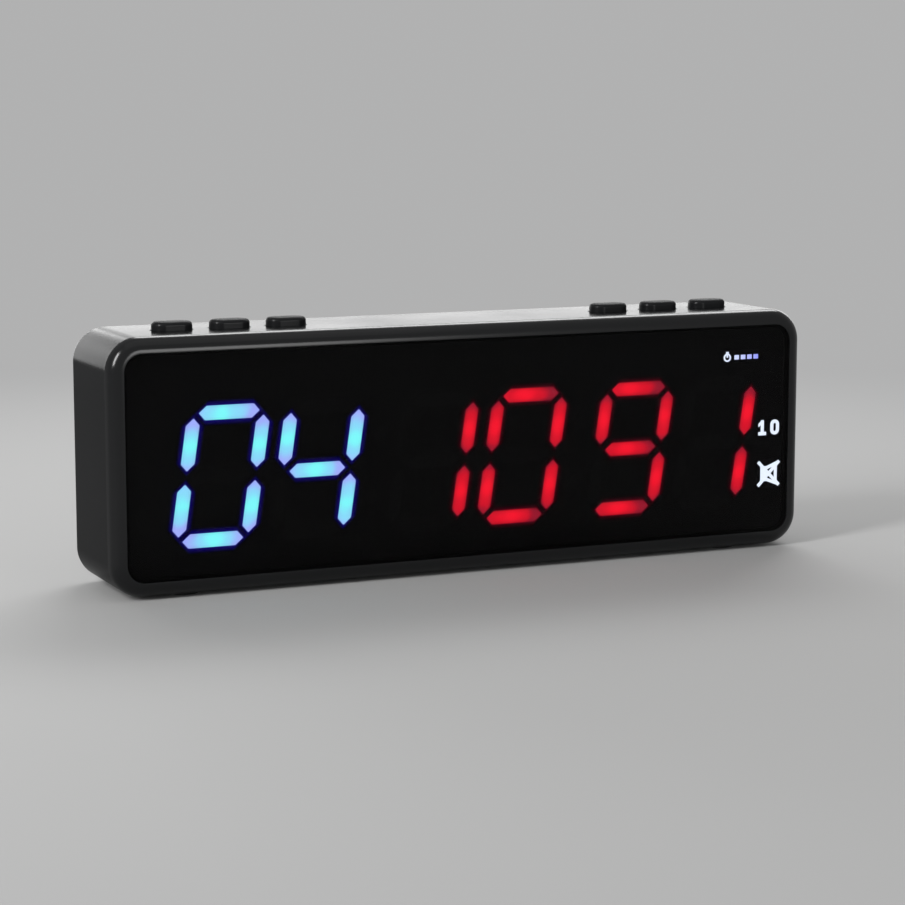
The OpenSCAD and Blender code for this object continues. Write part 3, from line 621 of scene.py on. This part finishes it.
def makeBosses():
    form = bossForm
    parts = []
    for kind in ("cover", "board"):
        end, bore = frontY + form[kind + "End"], form[kind + "Bore"]
        for x, rise in form[kind]:
            for spot in fourPlaces(x, rise, caseMid):
                parts.append(addBoss("boss", form["radius"], form["hole"], frontY + form["root"],
                                     end, bore, spot, yAxis))
    for x in form["postX"]:
        parts.append(addBoss("post", form["post"], form["hole"], form["postRoot"], form["postEnd"],
                             form["postBore"], (x, 0), zAxis))
    wide = insertForm["outer"] + insertForm["fit"]
    deep = case["standsAt"] + insertForm["length"] - form["insertRoot"]
    parts.append(addBoss("insertBoss", wide + form["insertWall"], wide, form["insertRoof"],
                         form["insertRoot"], deep, (0, 0), zAxis))
    return parts


# The case itself: one moulding, open at the front for the window and at the back for the cover
housingForm = {"cornerSteps": 22, "frontRadius": 4.6, "frontSteps": 12, "rearRadius": 0.9, "rearSteps": 4,
               "frame": lensForm["frame"], "lip": 0.12, "pocket": 2.3, "ledge": 1.0, "ledgeThickness": 1.5,
               "rebateIn": 1.3, "rebateWidth": 1.3, "rebateDepth": 2.4}


def makeHousing():
    form = housingForm
    shell = addBlock("housing", (case["width"], case["depth"], case["height"]), (0, 0, caseMid))
    startEdit(shell)
    roundEdges(shell, runsBack, case["cornerRadius"], form["cornerSteps"])
    roundEdges(shell, flatOn(yAxis, frontY), form["frontRadius"], form["frontSteps"])
    roundEdges(shell, flatOn(yAxis, backY), form["rearRadius"], form["rearSteps"])
    # window pocket, with a small chamfer at its mouth and the ledge for the tape
    pickFaces(shell, yAxis, -1, frontY)
    insetBy(form["frame"] - form["frontRadius"] - form["lip"])
    insetBy(form["lip"], -form["lip"])
    pullBy(y=form["pocket"] - form["lip"])
    insetBy(form["ledge"])
    pullBy(y=form["ledgeThickness"])
    bpy.ops.mesh.delete(type="ONLY_FACE")
    # rear rebate and the hollow inside
    pickFaces(shell, yAxis, 1, backY)
    insetBy(form["rebateIn"] - form["rearRadius"])
    pullBy(y=-form["rebateDepth"])
    insetBy(form["rebateWidth"])
    inside = case["depth"] - form["rebateDepth"] - form["pocket"] - form["ledgeThickness"]
    pullBy(y=-inside)
    insetBy(form["frame"] + form["ledge"] - form["rebateIn"] - form["rebateWidth"])
    bpy.ops.mesh.delete(type="ONLY_FACE")
    bpy.ops.mesh.select_all(action="SELECT")
    bpy.ops.mesh.remove_doubles(threshold=samePlane)
    bpy.ops.mesh.normals_make_consistent(inside=False)
    endEdit()
    cutters = [openingCutter("keyOpening", x) for x in keyPlaces]
    foot, insert = footForm, insertForm
    for spot in fourPlaces(foot["x"], foot["y"], 0):
        cutters.append(roundCutter("footPocket", foot["radius"] + foot["fit"], spot,
                                   foot["sunk"], foot["mouth"]))
    cutters.append(roundCutter("insertPocket", insert["outer"] + insert["fit"], (0, 0),
                               insert["pocketDepth"], insert["pocketMouth"]))
    cutWith(shell, joinUp("cutters", cutters))
    return smoothOff(joinUp("housing", [shell] + makeBosses()), angle=30)


dress(makeHousing(), "case", "case_plastic", "front_housing")
firstKey = makeKey()
for i, x in enumerate(keyPlaces, 1):
    key = copyOf(firstKey, "keyTop" + str(i), x=x)
    dress(key, "key_" + str(i), "key_black", "key_cap_" + str(i))
bpy.data.objects.remove(firstKey)
print("case and keys made")


def makeLens():
    form = lensForm
    inset = 2 * (form["frame"] + form["gap"])
    size = (case["width"] - inset, form["thickness"], case["height"] - inset)
    lens = addBlock("windowPane", size, (0, frontY + form["thickness"] / 2, caseMid))
    startEdit(lens)
    roundEdges(lens, runsBack, case["cornerRadius"] - inset / 2, form["cornerSteps"])
    roundEdges(lens, flatOn(yAxis, frontY), form["edge"], form["edgeSteps"])
    endEdit()
    return smoothOff(lens, angle=40)


dress(makeLens(), "case", "smoked_lens", "display_lens")
print("window made")

# Bars of the six figures; each bar is made lying along X, then turned, leaned and set in its figure
# the fade at the tips is how much of the painted halo the lip keeps at its two outer points
barForm = {"thickness": 4.5, "tipGap": 1.5, "waistGap": 2.05, "lean": 0.15,
           "figureHeight": 40.0, "figureWidth": 23.0, "figureZ": 37.5,
           "figureX": (-86.7, -54.5, -14.5, 17.7, 57.7, 89.9), "faceDepth": 2.5, "deep": 2.0,
           "lipBeside": 1.8, "lipEnd": 1.0, "lipThickness": 0.03, "haloAtTips": 0.25, "rimFrom": 1.01}
litBars = ("abcdef", "bcfg", "bc", "abcdef", "abcdfg", "bc")
# how far a bar's hot middle sits from its own middle, right or up, as a share of half its length
hotShift = {"0a": -0.21, "0b": -0.12, "0c": 0.04, "0d": 0.04, "0e": 0.16, "0f": -0.06,
            "1b": -0.13, "1c": -0.08, "1f": 0.02, "1g": -0.07, "2b": -0.03, "2c": -0.04,
            "3a": -0.23, "3b": -0.06, "3d": -0.13, "3e": -0.02,
            "4a": -0.27, "4d": -0.19, "4f": -0.05, "4g": -0.16, "5b": -0.11, "5c": -0.03}


def barLength(letter):
    form = barForm
    if letter in "bcef":
        return form["figureHeight"] / 2 - form["tipGap"] - form["waistGap"]
    return form["figureWidth"] - 2 * (form["waistGap"] if letter == "g" else form["tipGap"])


def barMiddle(letter):
    form = barForm
    rise = form["figureHeight"] / 4 + (form["waistGap"] - form["tipGap"]) / 2
    x = {"b": 0.5, "c": 0.5, "e": -0.5, "f": -0.5}.get(letter, 0.0) * form["figureWidth"]
    z = {"a": form["figureHeight"] / 2, "d": -form["figureHeight"] / 2, "g": 0.0,
         "b": rise, "f": rise}.get(letter, -rise)
    return x, z


def barOutline(length, beside=0.0, beyond=0.0):
    high = barForm["thickness"] / 2 + beside
    end = length / 2 + beyond * math.sqrt(2)
    return [(end, 0), (end - high, high), (high - end, high),
            (-end, 0), (high - end, -high), (end - high, -high)]


def setCorners(verts, outline):
    # puts the corners of a six-sided ring, taken in turn, on an outline
    middle = sum((v.co for v in verts), Vector()) / len(verts)
    around = lambda v: math.atan2(v.co.z - middle.z, v.co.x - middle.x) % (2 * math.pi)
    ring = sorted(verts, key=around)
    start = min(range(len(ring)), key=lambda i: -ring[i].co.x)
    for i, corner in enumerate(outline):
        v = ring[(start + i) % len(ring)]
        v.co.x, v.co.z = corner[0] * mm, corner[1] * mm


def insetTo(obj, side, outline):
    anyWidth = 0.1  # the corners are set after it
    pickFaces(obj, yAxis, side)
    insetBy(anyWidth)
    work = bmesh.from_edit_mesh(obj.data)
    setCorners([v for v in work.verts if v.select], outline)
    bmesh.update_edit_mesh(obj.data)


def makeBar(name, length, shift, lip, core):
    form = barForm
    half = form["thickness"] / 2
    faceY = frontY + form["faceDepth"] - form["lipThickness"]
    inner, outer = barOutline(length), barOutline(length, form["lipBeside"], form["lipEnd"])
    bar = addRound(name, length / 2, faceY, faceY + form["lipThickness"], sides=6, axis=yAxis)
    bar.data.transform(Matrix.Rotation(math.pi / 6, 4, "Y"))
    between = (faceY + form["lipThickness"] / 2) * mm
    for inFront in (True, False):
        setCorners([v for v in bar.data.vertices if (v.co.y < between) == inFront], outer)
    startEdit(bar)
    insetTo(bar, 1, inner)
    pullBy(y=form["deep"])
    insetTo(bar, -1, inner)
    endEdit()
    mesh = bar.data
    chart = mesh.uv_layers.new(name="barMap")
    # the painted halo of the lip: full next to the bar, none at its outer edge, and a little left at its two
    # outer points
    paintedHalo = mesh.attributes.new("paintedHalo", "FLOAT", "POINT")
    isRim = [max(abs(v.co.z) / mm / half, abs(v.co.x) / mm / (length / 2)) > form["rimFrom"]
             for v in mesh.vertices]
    for v in mesh.vertices:
        level = form["haloAtTips"] if abs(v.co.z) < samePlane else 0.0
        paintedHalo.data[v.index].value = level if isRim[v.index] else 1.0
    for loop in mesh.loops:
        v = mesh.vertices[loop.vertex_index].co
        chart.data[loop.index].uv = (v.x / mm / (length / 2) - shift, v.z / mm / half)
    mesh.materials.append(core)
    mesh.materials.append(lip)
    for f in mesh.polygons:
        f.material_index = 1 if any(isRim[i] for i in f.vertices) else 0
    return bar


def barPlace(figure, letter):
    form = barForm
    x, z = barMiddle(letter)
    turn = Matrix.Rotation(-math.pi / 2, 4, "Y") if letter in "bcef" else Matrix.Identity(4)
    slant = Matrix.Identity(4)
    slant[0][2] = form["lean"]
    centre = Matrix.Translation((form["figureX"][figure] * mm, 0, form["figureZ"] * mm))
    return centre @ slant @ Matrix.Translation((x * mm, 0, z * mm)) @ turn


def makeBars(name, figures, glow, slot, node):
    # the lip round the bars carries the painted halo
    lip = paintedHaloFinish(name + "PaintedHalo", glow)
    parts = []
    for figure in figures:
        for letter in litBars[figure]:
            shift = hotShift.get(str(figure) + letter, 0.0)
            bar = makeBar(name, barLength(letter), shift, lip, finishes[slot])
            bar.data.transform(barPlace(figure, letter))
            parts.append(bar)
    attach(joinUp(name, parts), "case", slot, node)


makeBars("blueBars", (0, 1), blueGlow, "blue_light", "blue_segments")
makeBars("redBars", (2, 3, 4, 5), redGlow, "red_light", "red_segments")
print("lit bars made")


def makeFeet():
    form = footForm
    foot = addRound("foot", form["radius"], 0, case["standsAt"] + form["sunk"], sides=form["sides"])
    startEdit(foot)
    roundEdges(foot, flatOn(zAxis, 0), form["edge"], form["edgeSteps"])
    pickFaces(foot, zAxis, -1, 0)
    for width, depth in form["ribs"]:
        insetBy(width)
        insetBy(form["ribFlank"], -depth)
    endEdit()
    parts = [copyOf(foot, "foot", x, y) for x, y in fourPlaces(form["x"], form["y"], 0)]
    bpy.data.objects.remove(foot)
    return smoothOff(joinUp("gripFeet", parts))


dress(makeFeet(), "case", "foot_rubber", "rubber_feet")
print("feet made")

# Rear cover: a plate in the rebate, with seats for screws and magnets, a cradle for the cells and rails
# for the inlet's board; past is how far a cutter runs on, and root how far a rib goes into the plate
coverForm = {"inset": 1.45, "thickness": 2.4, "edge": 0.35, "edgeSteps": 4, "cornerSteps": 20,
             "past": 1.0, "root": 1.2, "holeSides": 48, "seat": 2.6, "seatFloor": 1.1, "shankHole": 1.5,
             "mouth": 0.22, "soundAt": (30.0, 45.4), "soundRing": 3.4, "soundHole": 0.8, "soundCount": 6,
             "soundMouth": 0.12, "inletAt": (62.0, 14.13), "inletSize": (9.54, 3.86), "inletCorner": 1.6,
             "inletSteps": 8, "magnetAt": (102.0, 19.0), "magnetSeat": 9.2, "magnetSink": 1.0,
             "magnetSpare": 0.2, "fence": 1.2, "fenceRise": 1.8, "fenceRoot": 0.5,
             "ribX": (-38.1, -78.1), "ribThickness": 3.0, "ribLow": 13.2, "ribHigh": 55.2, "ribFrom": 23.8,
             "cellZ": (24.0, 44.4), "cellDepth": 27.3, "cellSeat": 9.4, "cellSides": 72,
             "railX": 9.8, "railSize": (3.0, 5.0), "railFrom": 21.1, "railZ": 11.7, "groove": (1.3, 1.8)}
plateY = backY - coverForm["thickness"]
coverScrewPlaces = [spot for x, rise in bossForm["cover"] for spot in fourPlaces(x, rise, caseMid)]


def holeCutter(name, radius, low, place, mouth, shank=0.0):
    cutter = addRound(name, radius, low, backY - mouth, place, coverForm["holeSides"], yAxis)
    startEdit(cutter)
    flare(cutter, yAxis, 1, place, 2 * radius, 2 * radius, mouth)
    if shank:
        pickFaces(cutter, yAxis, -1)
        insetBy(radius - shank)
        pullBy(y=plateY - coverForm["past"] - low)
    endEdit()
    return cutter


def inletCutter():
    form = coverForm
    (x, z), (wide, high), mouth = form["inletAt"], form["inletSize"], form["mouth"]
    low = plateY - form["past"]
    cutter = addBlock("inletOpening", (wide, backY - mouth - low, high), (x, (low + backY - mouth) / 2, z))
    startEdit(cutter)
    roundEdges(cutter, runsBack, form["inletCorner"], form["inletSteps"])
    flare(cutter, yAxis, 1, (x, z), wide, high, mouth)
    endEdit()
    return cutter


def makeCradle():
    form = coverForm
    deep = plateY + form["root"] - frontY - form["ribFrom"]
    size = (form["ribThickness"], deep, form["ribHigh"] - form["ribLow"])
    reach = 1.5 * form["ribThickness"]
    ribs = []
    for x in form["ribX"]:
        middle = (x, frontY + form["ribFrom"] + deep / 2, (form["ribLow"] + form["ribHigh"]) / 2)
        rib = addBlock("rib", size, middle)
        for z in form["cellZ"]:
            cutWith(rib, addRound("cellCut", form["cellSeat"], x - reach, x + reach,
                                  (frontY + form["cellDepth"], z), form["cellSides"], xAxis))
        ribs.append(rib)
    return ribs


def makeRails():
    form = coverForm
    (x, z), (wide, high) = (form["inletAt"][0], form["railZ"]), form["railSize"]
    start = frontY + form["railFrom"]
    deep = plateY + form["root"] - start
    out = form["railX"] + wide / 2
    rails = joinUp("rail", [addBlock("rail", (wide, deep, high), (x + side * out, start + deep / 2, z))
                            for side in (-1, 1)])
    reach = plateY - start + form["past"]
    span = 2 * (form["railX"] + form["groove"][0])
    middle = (x, start - form["past"] + reach / 2, z)
    cutWith(rails, addBlock("groove", (span, reach, form["groove"][1]), middle))
    return rails


def makeCover():
    form = coverForm
    size = (case["width"] - 2 * form["inset"], form["thickness"], case["height"] - 2 * form["inset"])
    plate = addBlock("rearPlate", size, (0, (plateY + backY) / 2, caseMid))
    startEdit(plate)
    roundEdges(plate, runsBack, case["cornerRadius"] - form["inset"], form["cornerSteps"])
    roundEdges(plate, flatOn(yAxis, backY), form["edge"], form["edgeSteps"])
    endEdit()
    cutters = [inletCutter()]
    for spot in coverScrewPlaces:
        cutters.append(holeCutter("screwSeat", form["seat"], plateY + form["seatFloor"], spot,
                                  form["mouth"], form["shankHole"]))
    x, z = form["soundAt"]
    ring = form["soundRing"]
    turns = [math.radians(360 * i / form["soundCount"]) for i in range(form["soundCount"])]
    for spot in [(x, z)] + [(x + ring * math.cos(a), z + ring * math.sin(a)) for a in turns]:
        cutters.append(holeCutter("soundHole", form["soundHole"], plateY - form["past"], spot,
                                  form["soundMouth"]))
    magnets = fourPlaces(*form["magnetAt"], caseMid)
    under = plateY + form["magnetSink"]
    for spot in magnets:
        cutters.append(addRound("magnetSeat", form["magnetSeat"] + form["fence"] / 2, plateY - form["past"],
                                under + form["magnetSpare"], spot, axis=yAxis))
    cutWith(plate, joinUp("cutters", cutters))
    parts = [plate] + makeCradle() + [makeRails()]
    for spot in magnets:
        parts.append(addBoss("fence", form["magnetSeat"] + form["fence"], form["magnetSeat"],
                             under + form["fenceRoot"], plateY - form["fenceRise"],
                             form["fenceRise"] + form["magnetSink"], spot, yAxis))
    return smoothOff(joinUp("rearPlate", parts), angle=30)


dress(makeCover(), "case", "cover_plastic", "rear_cover")
print("rear cover made")

# Cover screws: a low round head whose cross recess is painted dark as shade, and a sharp thread in rings
screwForm = {"head": 2.4, "headHeight": 1.3, "edge": 0.35, "edgeSteps": 4, "sides": 48, "length": 9.0,
             "core": 0.95, "crest": 1.3, "pitch": 1.0, "tip": 1.2, "tipRadius": 0.15,
             "cross": 0.6, "arm": 1.0, "crossDepth": 0.7, "crossTaper": 0.72, "crossPast": 0.5,
             "crossSpare": 0.1, "crossRim": 0.02, "turns": (18, 74, 40, 5, 61, 33, 82, 52)}
# a near-black metal that paints shade into the cross recess
crossShade = metalFinish("crossShade", (0.06, 0.06, 0.065), (0.11, 0.11, 0.115), (0.45, 0.6))


def crossCutter():
    form = screwForm
    deep = form["crossDepth"] + form["crossPast"]
    middle = (0, backY + form["crossPast"] - deep / 2, 0)
    cutter = addBlock("cross", (form["cross"], deep, form["cross"]), middle)
    startEdit(cutter)
    for x, z in ((1, 0), (-1, 0), (0, 1), (0, -1)):
        root = Vector((x, 0, z)) * form["cross"] / 2 * mm
        pick(cutter, "FACE", lambda f: abs(f.calc_center_median().x - root.x) < samePlane
             and abs(f.calc_center_median().z - root.z) < samePlane)
        pullBy(x=x * form["arm"], z=z * form["arm"])
    pick(cutter, "VERT", lambda v: v.co.y < (backY - form["crossDepth"] / 2) * mm)
    bpy.ops.transform.resize(value=(form["crossTaper"], 1.0, form["crossTaper"]), center_override=(0, 0, 0))
    endEdit()
    return cutter


def makeScrews():
    form = screwForm
    pitch = form["pitch"]
    screw = addRound("screw", form["head"], backY - form["headHeight"], backY, (0, 0), form["sides"], yAxis)
    startEdit(screw)
    roundEdges(screw, flatOn(yAxis, backY), form["edge"], form["edgeSteps"])
    pickFaces(screw, yAxis, -1)
    insetBy(form["head"] - form["core"])
    # a turn is a flat of core, then a flank out and a flank in
    flat, flank = pitch / 2, pitch / 4
    for i in range(int((form["length"] - form["tip"]) / pitch)):
        pullBy(y=-flat)
        ringTo(form["crest"], form["core"], y=-flank)
        ringTo(form["core"], form["crest"], y=-flank)
    ringTo(form["tipRadius"], form["core"], y=-form["tip"])
    endEdit()
    cutWith(screw, crossCutter())
    screw.data.materials.append(finishes["screw_steel"])
    # the faces inside the cross take the painted shade
    screw.data.materials.append(crossShade)
    crossFloor = backY - form["crossDepth"] - form["crossSpare"]
    crossReach = form["cross"] / 2 + form["arm"]
    for f in screw.data.polygons:
        middle = f.center / mm
        inCross = crossFloor < middle.y < backY - form["crossRim"]
        f.material_index = 1 if inCross and math.hypot(middle.x, middle.z) < crossReach else 0
    parts = [copyOf(screw, "screw", x, 0, z, turn) for (x, z), turn in zip(coverScrewPlaces, form["turns"])]
    bpy.data.objects.remove(screw)
    return smoothOff(joinUp("coverScrews", parts))


attach(makeScrews(), "case", "screw_steel", "cover_screws")


# Brass insert, threaded in rings for a camera stand
def makeInsert():
    form = insertForm
    low = case["standsAt"]
    high = low + form["length"]
    land = form["outer"] - form["edge"]  # radius of the flat ends
    insert = addRound("standInsert", form["outer"], low, high)
    startEdit(insert)
    roundEdges(insert, lambda e: onPlane(e, zAxis, low) or onPlane(e, zAxis, high), form["edge"])
    pickFaces(insert, zAxis, -1, low)
    root = form["bore"] + form["crest"]
    insetBy(land - root)
    ringTo(form["bore"], root, z=form["mouth"])
    # a turn is a crest, a flank out, a root and a flank in
    flat, flank = form["pitch"] / 8, form["pitch"] * 3 / 8
    for i in range(form["turns"] - 1):
        pullBy(z=flat)
        ringTo(root, form["bore"], z=flank)
        pullBy(z=flat)
        ringTo(form["bore"], root, z=flank)
    bpy.ops.mesh.delete(type="ONLY_FACE")
    # the thread meets the upper face, which is opened for it
    pickFaces(insert, zAxis, 1, high)
    insetBy(land - form["bore"])
    bpy.ops.mesh.delete(type="ONLY_FACE")
    end = low + form["mouth"] + (form["turns"] - 1) * form["pitch"]
    pick(insert, "EDGE", lambda e: e.is_boundary and (onPlane(e, zAxis, end) or onPlane(e, zAxis, high)))
    bpy.ops.mesh.bridge_edge_loops()
    bpy.ops.mesh.select_all(action="SELECT")
    bpy.ops.mesh.normals_make_consistent(inside=False)
    endEdit()
    return smoothOff(insert)


dress(makeInsert(), "case", "insert_brass", "stand_insert")

# Charging inlet: a drawn steel shell round a dark tongue with gilt contacts
inletForm = {"at": coverForm["inletAt"], "size": (8.94, 3.26), "corner": 1.3, "cornerSteps": 10, "sink": 0.3,
             "length": 8.0, "wall": 0.3, "floor": 1.4, "lip": 0.08, "tongue": (6.7, 0.7),
             "tongueReach": 5.0, "tongueEdge": 0.14, "contact": (0.34, 3.4, 0.02), "contactEdge": 0.008,
             "contactBack": 0.5, "contactStep": 0.82, "contactCount": 7}


def makeInlet():
    form = inletForm
    (x, z), (wide, high) = form["at"], form["size"]
    mouth = backY - form["sink"]
    shell = addBlock("inlet", (wide, form["length"], high), (x, mouth - form["length"] / 2, z))
    startEdit(shell)
    roundEdges(shell, runsBack, form["corner"], form["cornerSteps"])
    pickFaces(shell, yAxis, 1)
    insetBy(form["wall"])
    pullBy(y=form["floor"] - form["length"])
    roundEdges(shell, flatOn(yAxis, mouth), form["lip"])
    endEdit()
    shell.data.materials.append(finishes["socket_steel"])
    root = mouth - form["length"] + form["floor"] / 2
    reach = form["tongueReach"] + form["floor"] / 2
    tongueWide, tongueThick = form["tongue"]
    tongue = addBlock("tongue", (tongueWide, reach, tongueThick), (x, root + reach / 2, z))
    startEdit(tongue)
    roundEdges(tongue, flatOn(yAxis, root + reach), form["tongueEdge"])
    endEdit()
    tongue.data.materials.append(finishes["switch_black"])
    parts = [shell, tongue]
    stripWide, stripLong, stripThick = form["contact"]
    stripY = root + reach - form["contactBack"] - stripLong / 2
    for side in (-1, 1):
        for i in range(form["contactCount"]):
            shift = (i - (form["contactCount"] - 1) / 2) * form["contactStep"]
            strip = addBlock("contact", (stripWide, stripLong, 2 * stripThick),
                             (x + shift, stripY, z + side * tongueThick / 2))
            startEdit(strip)
            top = z + side * (tongueThick / 2 + stripThick)
            roundEdges(strip, flatOn(zAxis, top), form["contactEdge"], steps=1)
            endEdit()
            strip.data.materials.append(finishes["insert_brass"])
            parts.append(strip)
    return smoothOff(joinUp("chargingInlet", parts))


attach(makeInlet(), "case", "socket_steel", "charge_socket")
print("screws, insert and inlet made")

# Floor, light and camera, in metres; the floor turns into the background between near and far
stageForm = {"floor": (0.43, 0.43, 0.428), "floorRough": 0.9, "floorShine": 0.1, "floorSize": 16.0,
             "pale": (0.44, 0.441, 0.442), "near": 0.14, "far": 0.62,
             "sky": (1.0, 1.0, 1.0), "skyStrength": 0.28}


def blendShaders(tree, amount, first, second, output):
    blend = newNode(tree, "ShaderNodeMixShader")
    for socket, source in zip(blend.inputs, (amount, first, second)):
        wire(tree, source, socket)
    wire(tree, blend.outputs["Shader"], tree.nodes[output].inputs["Surface"])


def paleRays(tree):
    # one for the rays that look at the background, straight or by way of gloss or glass
    ray = newNode(tree, "ShaderNodeLightPath")
    seen = mathOf(tree, "MAXIMUM", ray.outputs["Is Camera Ray"], ray.outputs["Is Glossy Ray"])
    return mathOf(tree, "MAXIMUM", seen, ray.outputs["Is Transmission Ray"])


def makeFloor():
    form = stageForm
    bpy.ops.object.select_all(action="DESELECT")
    bpy.ops.mesh.primitive_plane_add(size=form["floorSize"])
    floor = named("floor")
    mat, tree, shader, spot = newMaterial("paleFloor")
    setInputs(shader, {"Base Color": (*form["floor"], 1.0), "Roughness": form["floorRough"],
                       "Specular IOR Level": form["floorShine"]})
    away = newNode(tree, "ShaderNodeVectorMath", operation="LENGTH")
    wire(tree, spot, away.inputs[0])
    span = newNode(tree, "ShaderNodeMapRange", interpolation_type="SMOOTHSTEP")
    setInputs(span, {"From Min": form["near"], "From Max": form["far"]})
    wire(tree, away.outputs["Value"], span.inputs["Value"])
    pale = newNode(tree, "ShaderNodeEmission")
    setInputs(pale, {"Color": (*form["pale"], 1.0)})
    amount = mathOf(tree, "MULTIPLY", span.outputs["Result"], paleRays(tree))
    blendShaders(tree, amount, shader.outputs["BSDF"], pale.outputs["Emission"], "Material Output")
    floor.data.materials.append(mat)


def makeSky():
    world = bpy.data.worlds.new("paleRoom")
    bpy.context.scene.world = world
    world.use_nodes = True
    tree = world.node_tree
    light = tree.nodes["Background"]
    setInputs(light, {"Color": (*stageForm["sky"], 1.0), "Strength": stageForm["skyStrength"]})
    pale = newNode(tree, "ShaderNodeBackground")
    setInputs(pale, {"Color": (*stageForm["pale"], 1.0)})
    blendShaders(tree, paleRays(tree), light.outputs["Background"], pale.outputs["Background"],
                 "World Output")


# power is in watts; the back panels give the top and its left shoulder their sheen, the rim panel the line
# along the front edge, and the left lamp the bright spot at the corner
lamps = {
    "backPanel": {"at": (0.62, 1.22, 0.33), "to": (0.10, 0.0, 0.20), "size": (1.2, 0.42), "power": 5.2},
    "backLeft": {"at": (-0.21, 1.22, 0.235), "to": (-0.12, 0.0, 0.08), "size": (0.66, 0.46), "power": 6.2},
    "rimPanel": {"at": (0.547, 0.841, 0.903), "to": (0.0, 0.0, 0.08), "size": (0.90, 0.44), "power": 9.0},
    "overhead": {"at": (0.0, -0.45, 1.55), "to": (0.0, -0.1, 0.0), "size": (1.4, 1.4), "power": 1.5},
    "leftSpot": {"at": (-0.95, -0.4, 0.6), "to": (-0.12, -0.02, 0.075), "size": (0.24, 0.62), "power": 10.0},
    "frontRight": {"at": (0.33, -1.53, 0.24), "to": (0.0, 0.0, 0.06), "size": (0.50, 0.42), "power": 4.0},
}
cameraForm = {"lens": 101.985, "sensor": 36.0, "clipStart": 0.01,
              "at": (-0.34640, -0.76664, 0.16190), "to": (-0.008515, -0.01975, 0.040378)}


def aimed(name, data, form):
    obj = bpy.data.objects.new(name, data)
    bpy.context.scene.collection.objects.link(obj)
    obj.location = form["at"]
    aim = Vector(form["to"]) - Vector(form["at"])
    obj.rotation_euler = aim.to_track_quat("-Z", "Y").to_euler()
    return obj


def makeLamps():
    for name, form in lamps.items():
        light = bpy.data.lights.new(name, "AREA")
        light.shape = "RECTANGLE"
        light.size, light.size_y = form["size"]
        light.energy = form["power"]
        aimed(name, light, form).visible_camera = False


def makeCamera():
    view = bpy.data.cameras.new("photoView")
    view.sensor_width = cameraForm["sensor"]
    view.lens = cameraForm["lens"]
    view.clip_start = cameraForm["clipStart"]
    bpy.context.scene.camera = aimed("photoView", view, cameraForm)


makeFloor()
makeSky()
makeLamps()
makeCamera()
bpy.context.scene.view_settings.view_transform = "Standard"
print("stage and camera set")
